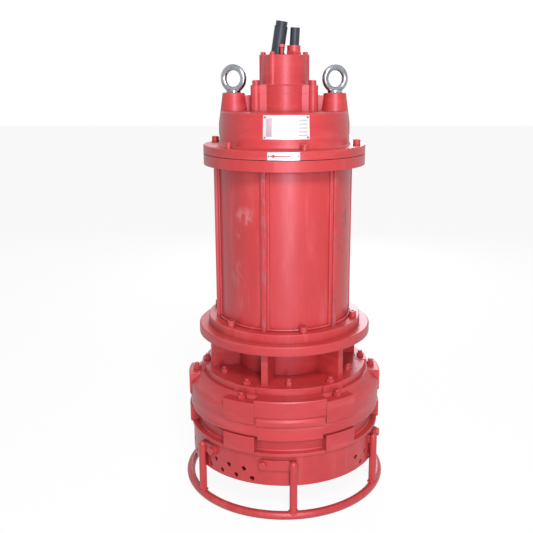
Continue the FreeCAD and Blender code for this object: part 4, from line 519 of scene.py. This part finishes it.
# ---------------------------------------------------------------- plates
PLATE_LOW, PLATE_HIGH = (corner.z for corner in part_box("nameplate"))
PLATE_MIDDLE, PLATE_WIDE = 1.7, 39.0  # degrees
CAP_FOOT, CAP_TOP = (168.5, 941), (163.5, 1012)  # radius and height in mm


def on_cap(angle, height, lift):
    """A point over the tapered side of the cap."""
    slope = (CAP_TOP[0] - CAP_FOOT[0]) / (CAP_TOP[1] - CAP_FOOT[1])
    radius = CAP_FOOT[0] + slope * (height / MM - CAP_FOOT[1])
    return plan(angle, radius * MM + lift, height)


def patch(heap, place, angles, heights, low_lift, high_lift, across=12):
    """A thin raised rectangle that follows a curved surface."""
    rings = []
    for i in range(across + 1):
        angle = angles[0] + (angles[1] - angles[0]) * i / across
        rings.append([place(angle, heights[0], low_lift), place(angle, heights[1], low_lift),
                      place(angle, heights[1], high_lift), place(angle, heights[0], high_lift)])
    heap.tube(rings)


def make_nameplate():
    """Raised edge, empty fields and tinted ends of a rating plate with nothing on it."""
    tint = plain("plate_tint", (0.58, 0.57, 0.61), 0.42, metal=0.1, grain=200, tint=0.25,
                 strength=0.05)
    blush = plain("plate_blush", (0.66, 0.50, 0.54), 0.42, metal=0.1, grain=90, tint=0.3,
                  strength=0.05)
    thin = 1.0 * MM
    height = PLATE_HIGH - PLATE_LOW
    left = PLATE_MIDDLE - PLATE_WIDE / 2
    edge = Heap()
    rim = 1.2 * MM
    rim_angle = math.degrees(rim / (166 * MM))
    for span, rows in (((left, left + PLATE_WIDE), (PLATE_LOW, PLATE_LOW + rim)),
                       ((left, left + PLATE_WIDE), (PLATE_HIGH - rim, PLATE_HIGH)),
                       ((left, left + rim_angle), (PLATE_LOW, PLATE_HIGH)),
                       ((left + PLATE_WIDE - rim_angle, left + PLATE_WIDE),
                        (PLATE_LOW, PLATE_HIGH))):
        patch(edge, on_cap, span, rows, thin - 0.05 * MM, thin + 0.35 * MM)
    piece("nameplate_edge", edge.points, edge.faces, PLATE, smooth=False)
    fields = Heap()
    for k in range(5):
        row = PLATE_LOW + height * (0.14 + 0.155 * k)
        patch(fields, on_cap, (left + PLATE_WIDE * 0.76, left + PLATE_WIDE * 0.95),
              (row, row + height * 0.050), thin - 0.05 * MM, thin + 0.15 * MM)
    piece("nameplate_fields", fields.points, fields.faces, tint,
          smooth=False)
    column = Heap()
    patch(column, on_cap, (left + PLATE_WIDE * 0.07, left + PLATE_WIDE * 0.19),
          (PLATE_LOW + height * 0.12, PLATE_LOW + height * 0.88), thin - 0.05 * MM,
          thin + 0.12 * MM)
    piece("nameplate_column", column.points, column.faces, blush,
          smooth=False)


def on_rim(angle, height, lift):
    """A point over the rim of the motor's head."""
    return plan(angle, RIM_RADIUS + lift, height)


def make_arrow():
    """A raised turning arrow on the small rim plate."""
    low, high = (corner.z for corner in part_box("arrow_plate"))
    middle, half = (low + high) / 2, (high - low) / 2
    heap = Heap()
    lift = (0.95 * MM, 1.3 * MM)
    patch(heap, on_rim, (-6.5, 4.0), (middle - half * 0.14, middle + half * 0.14), *lift)
    tip, root, spread = -9.6, -6.3, half * 0.46
    rings = []
    for i in range(7):
        angle = tip + (root - tip) * i / 6
        reach = max(0.05 * MM, spread * i / 6)
        below, above = middle - reach, middle + reach
        rings.append([on_rim(angle, below, lift[0]), on_rim(angle, above, lift[0]),
                      on_rim(angle, above, lift[1]), on_rim(angle, below, lift[1])])
    heap.tube(rings)
    piece("turning_arrow", heap.points, heap.faces, PAINT_SMALL, smooth=False)


make_rib_welds()
make_flange_welds()
make_leg_welds()
make_threads()
make_nameplate()
make_arrow()


# ---------------------------------------------------------------- floor, light, camera
WORLD_LEVEL = 0.10
FLOOR_GLOW = 1.14
FLOOR_SHARE = 0.80  # of the floor that glows, where it is seen directly


def seen_directly(tree):
    """1 for camera, glossy and transmission rays."""
    path = tree.nodes.new("ShaderNodeLightPath")
    last = path.outputs["Is Camera Ray"]
    for name in ("Is Glossy Ray", "Is Transmission Ray"):
        most = tree.nodes.new("ShaderNodeMath")
        most.operation = "MAXIMUM"
        tree.links.new(last, most.inputs[0])
        tree.links.new(path.outputs[name], most.inputs[1])
        last = most.outputs["Value"]
    return most, "Value"


def make_stage():
    """A white floor that keeps the shadow, under an even white studio."""
    bpy.ops.mesh.primitive_plane_add(size=30, location=(0, 0, -0.0005))
    floor = bpy.context.object
    floor.name = "floor"
    p = Paint("floor_white")
    p.set("Base Color", (0.62, 0.62, 0.62))
    p.set("Roughness", 0.9)
    glow = p.add("ShaderNodeEmission")
    glow.inputs["Color"].default_value = (1, 1, 1, 1)
    glow.inputs["Strength"].default_value = FLOOR_GLOW
    blend = p.add("ShaderNodeMixShader")
    p.tree.links.new(p.math("MULTIPLY", seen_directly(p.tree), FLOOR_SHARE)[0].outputs[0],
                     blend.inputs[0])
    p.link(p.shader, "BSDF", blend, 1)
    p.link(glow, "Emission", blend, 2)
    p.link(blend, "Shader", p.out, "Surface")
    floor.data.materials.append(p.material)

    world = bpy.data.worlds.new("studio")
    bpy.context.scene.world = world
    world.use_nodes = True
    tree = world.node_tree
    tree.nodes.clear()
    out = tree.nodes.new("ShaderNodeOutputWorld")
    back = tree.nodes.new("ShaderNodeBackground")
    back.inputs["Color"].default_value = (1, 1, 1, 1)
    level = tree.nodes.new("ShaderNodeMapRange")
    level.inputs["To Min"].default_value = WORLD_LEVEL
    level.inputs["To Max"].default_value = 1.0
    seen, output = seen_directly(tree)
    tree.links.new(seen.outputs[output], level.inputs["Value"])
    tree.links.new(level.outputs["Result"], back.inputs["Strength"])
    tree.links.new(back.outputs["Background"], out.inputs["Surface"])


def lamp(name, place, target, size, power):
    """A rectangular lamp that faces a point."""
    data = bpy.data.lights.new(name, "AREA")
    data.shape = "RECTANGLE"
    data.size, data.size_y = size
    data.energy = power
    data.color = (1.0, 0.95, 1.0)
    obj = bpy.data.objects.new(name, data)
    obj.location = place
    obj.rotation_euler = (Vector(target) - Vector(place)).to_track_quat("-Z", "Y").to_euler()
    bpy.context.collection.objects.link(obj)


def make_camera():
    """A normal lens a little over 2 m away, looking slightly down."""
    data = bpy.data.cameras.new("camera")
    data.sensor_width = 36.0
    data.lens = 50.922101
    data.shift_x = -0.0333959
    camera = bpy.data.objects.new("camera", data)
    camera.location = (0.0, -1.9812, 1.1055)
    camera.rotation_euler = Euler((math.radians(90 - 14.306), 0, 0))
    bpy.context.collection.objects.link(camera)
    bpy.context.scene.camera = camera


make_stage()
make_camera()
lamp("key", (0.35, -2.9, 1.15), (0, 0, 0.6), (0.5, 1.9), 44)
lamp("high", (0.30, -2.2, 2.55), (0, 0, 0.7), (0.9, 0.7), 48)
lamp("back", (0.2, 2.8, 1.6), (0, 0, 0.6), (1.0, 1.8), 34)
bpy.context.scene.view_settings.view_transform = "Standard"
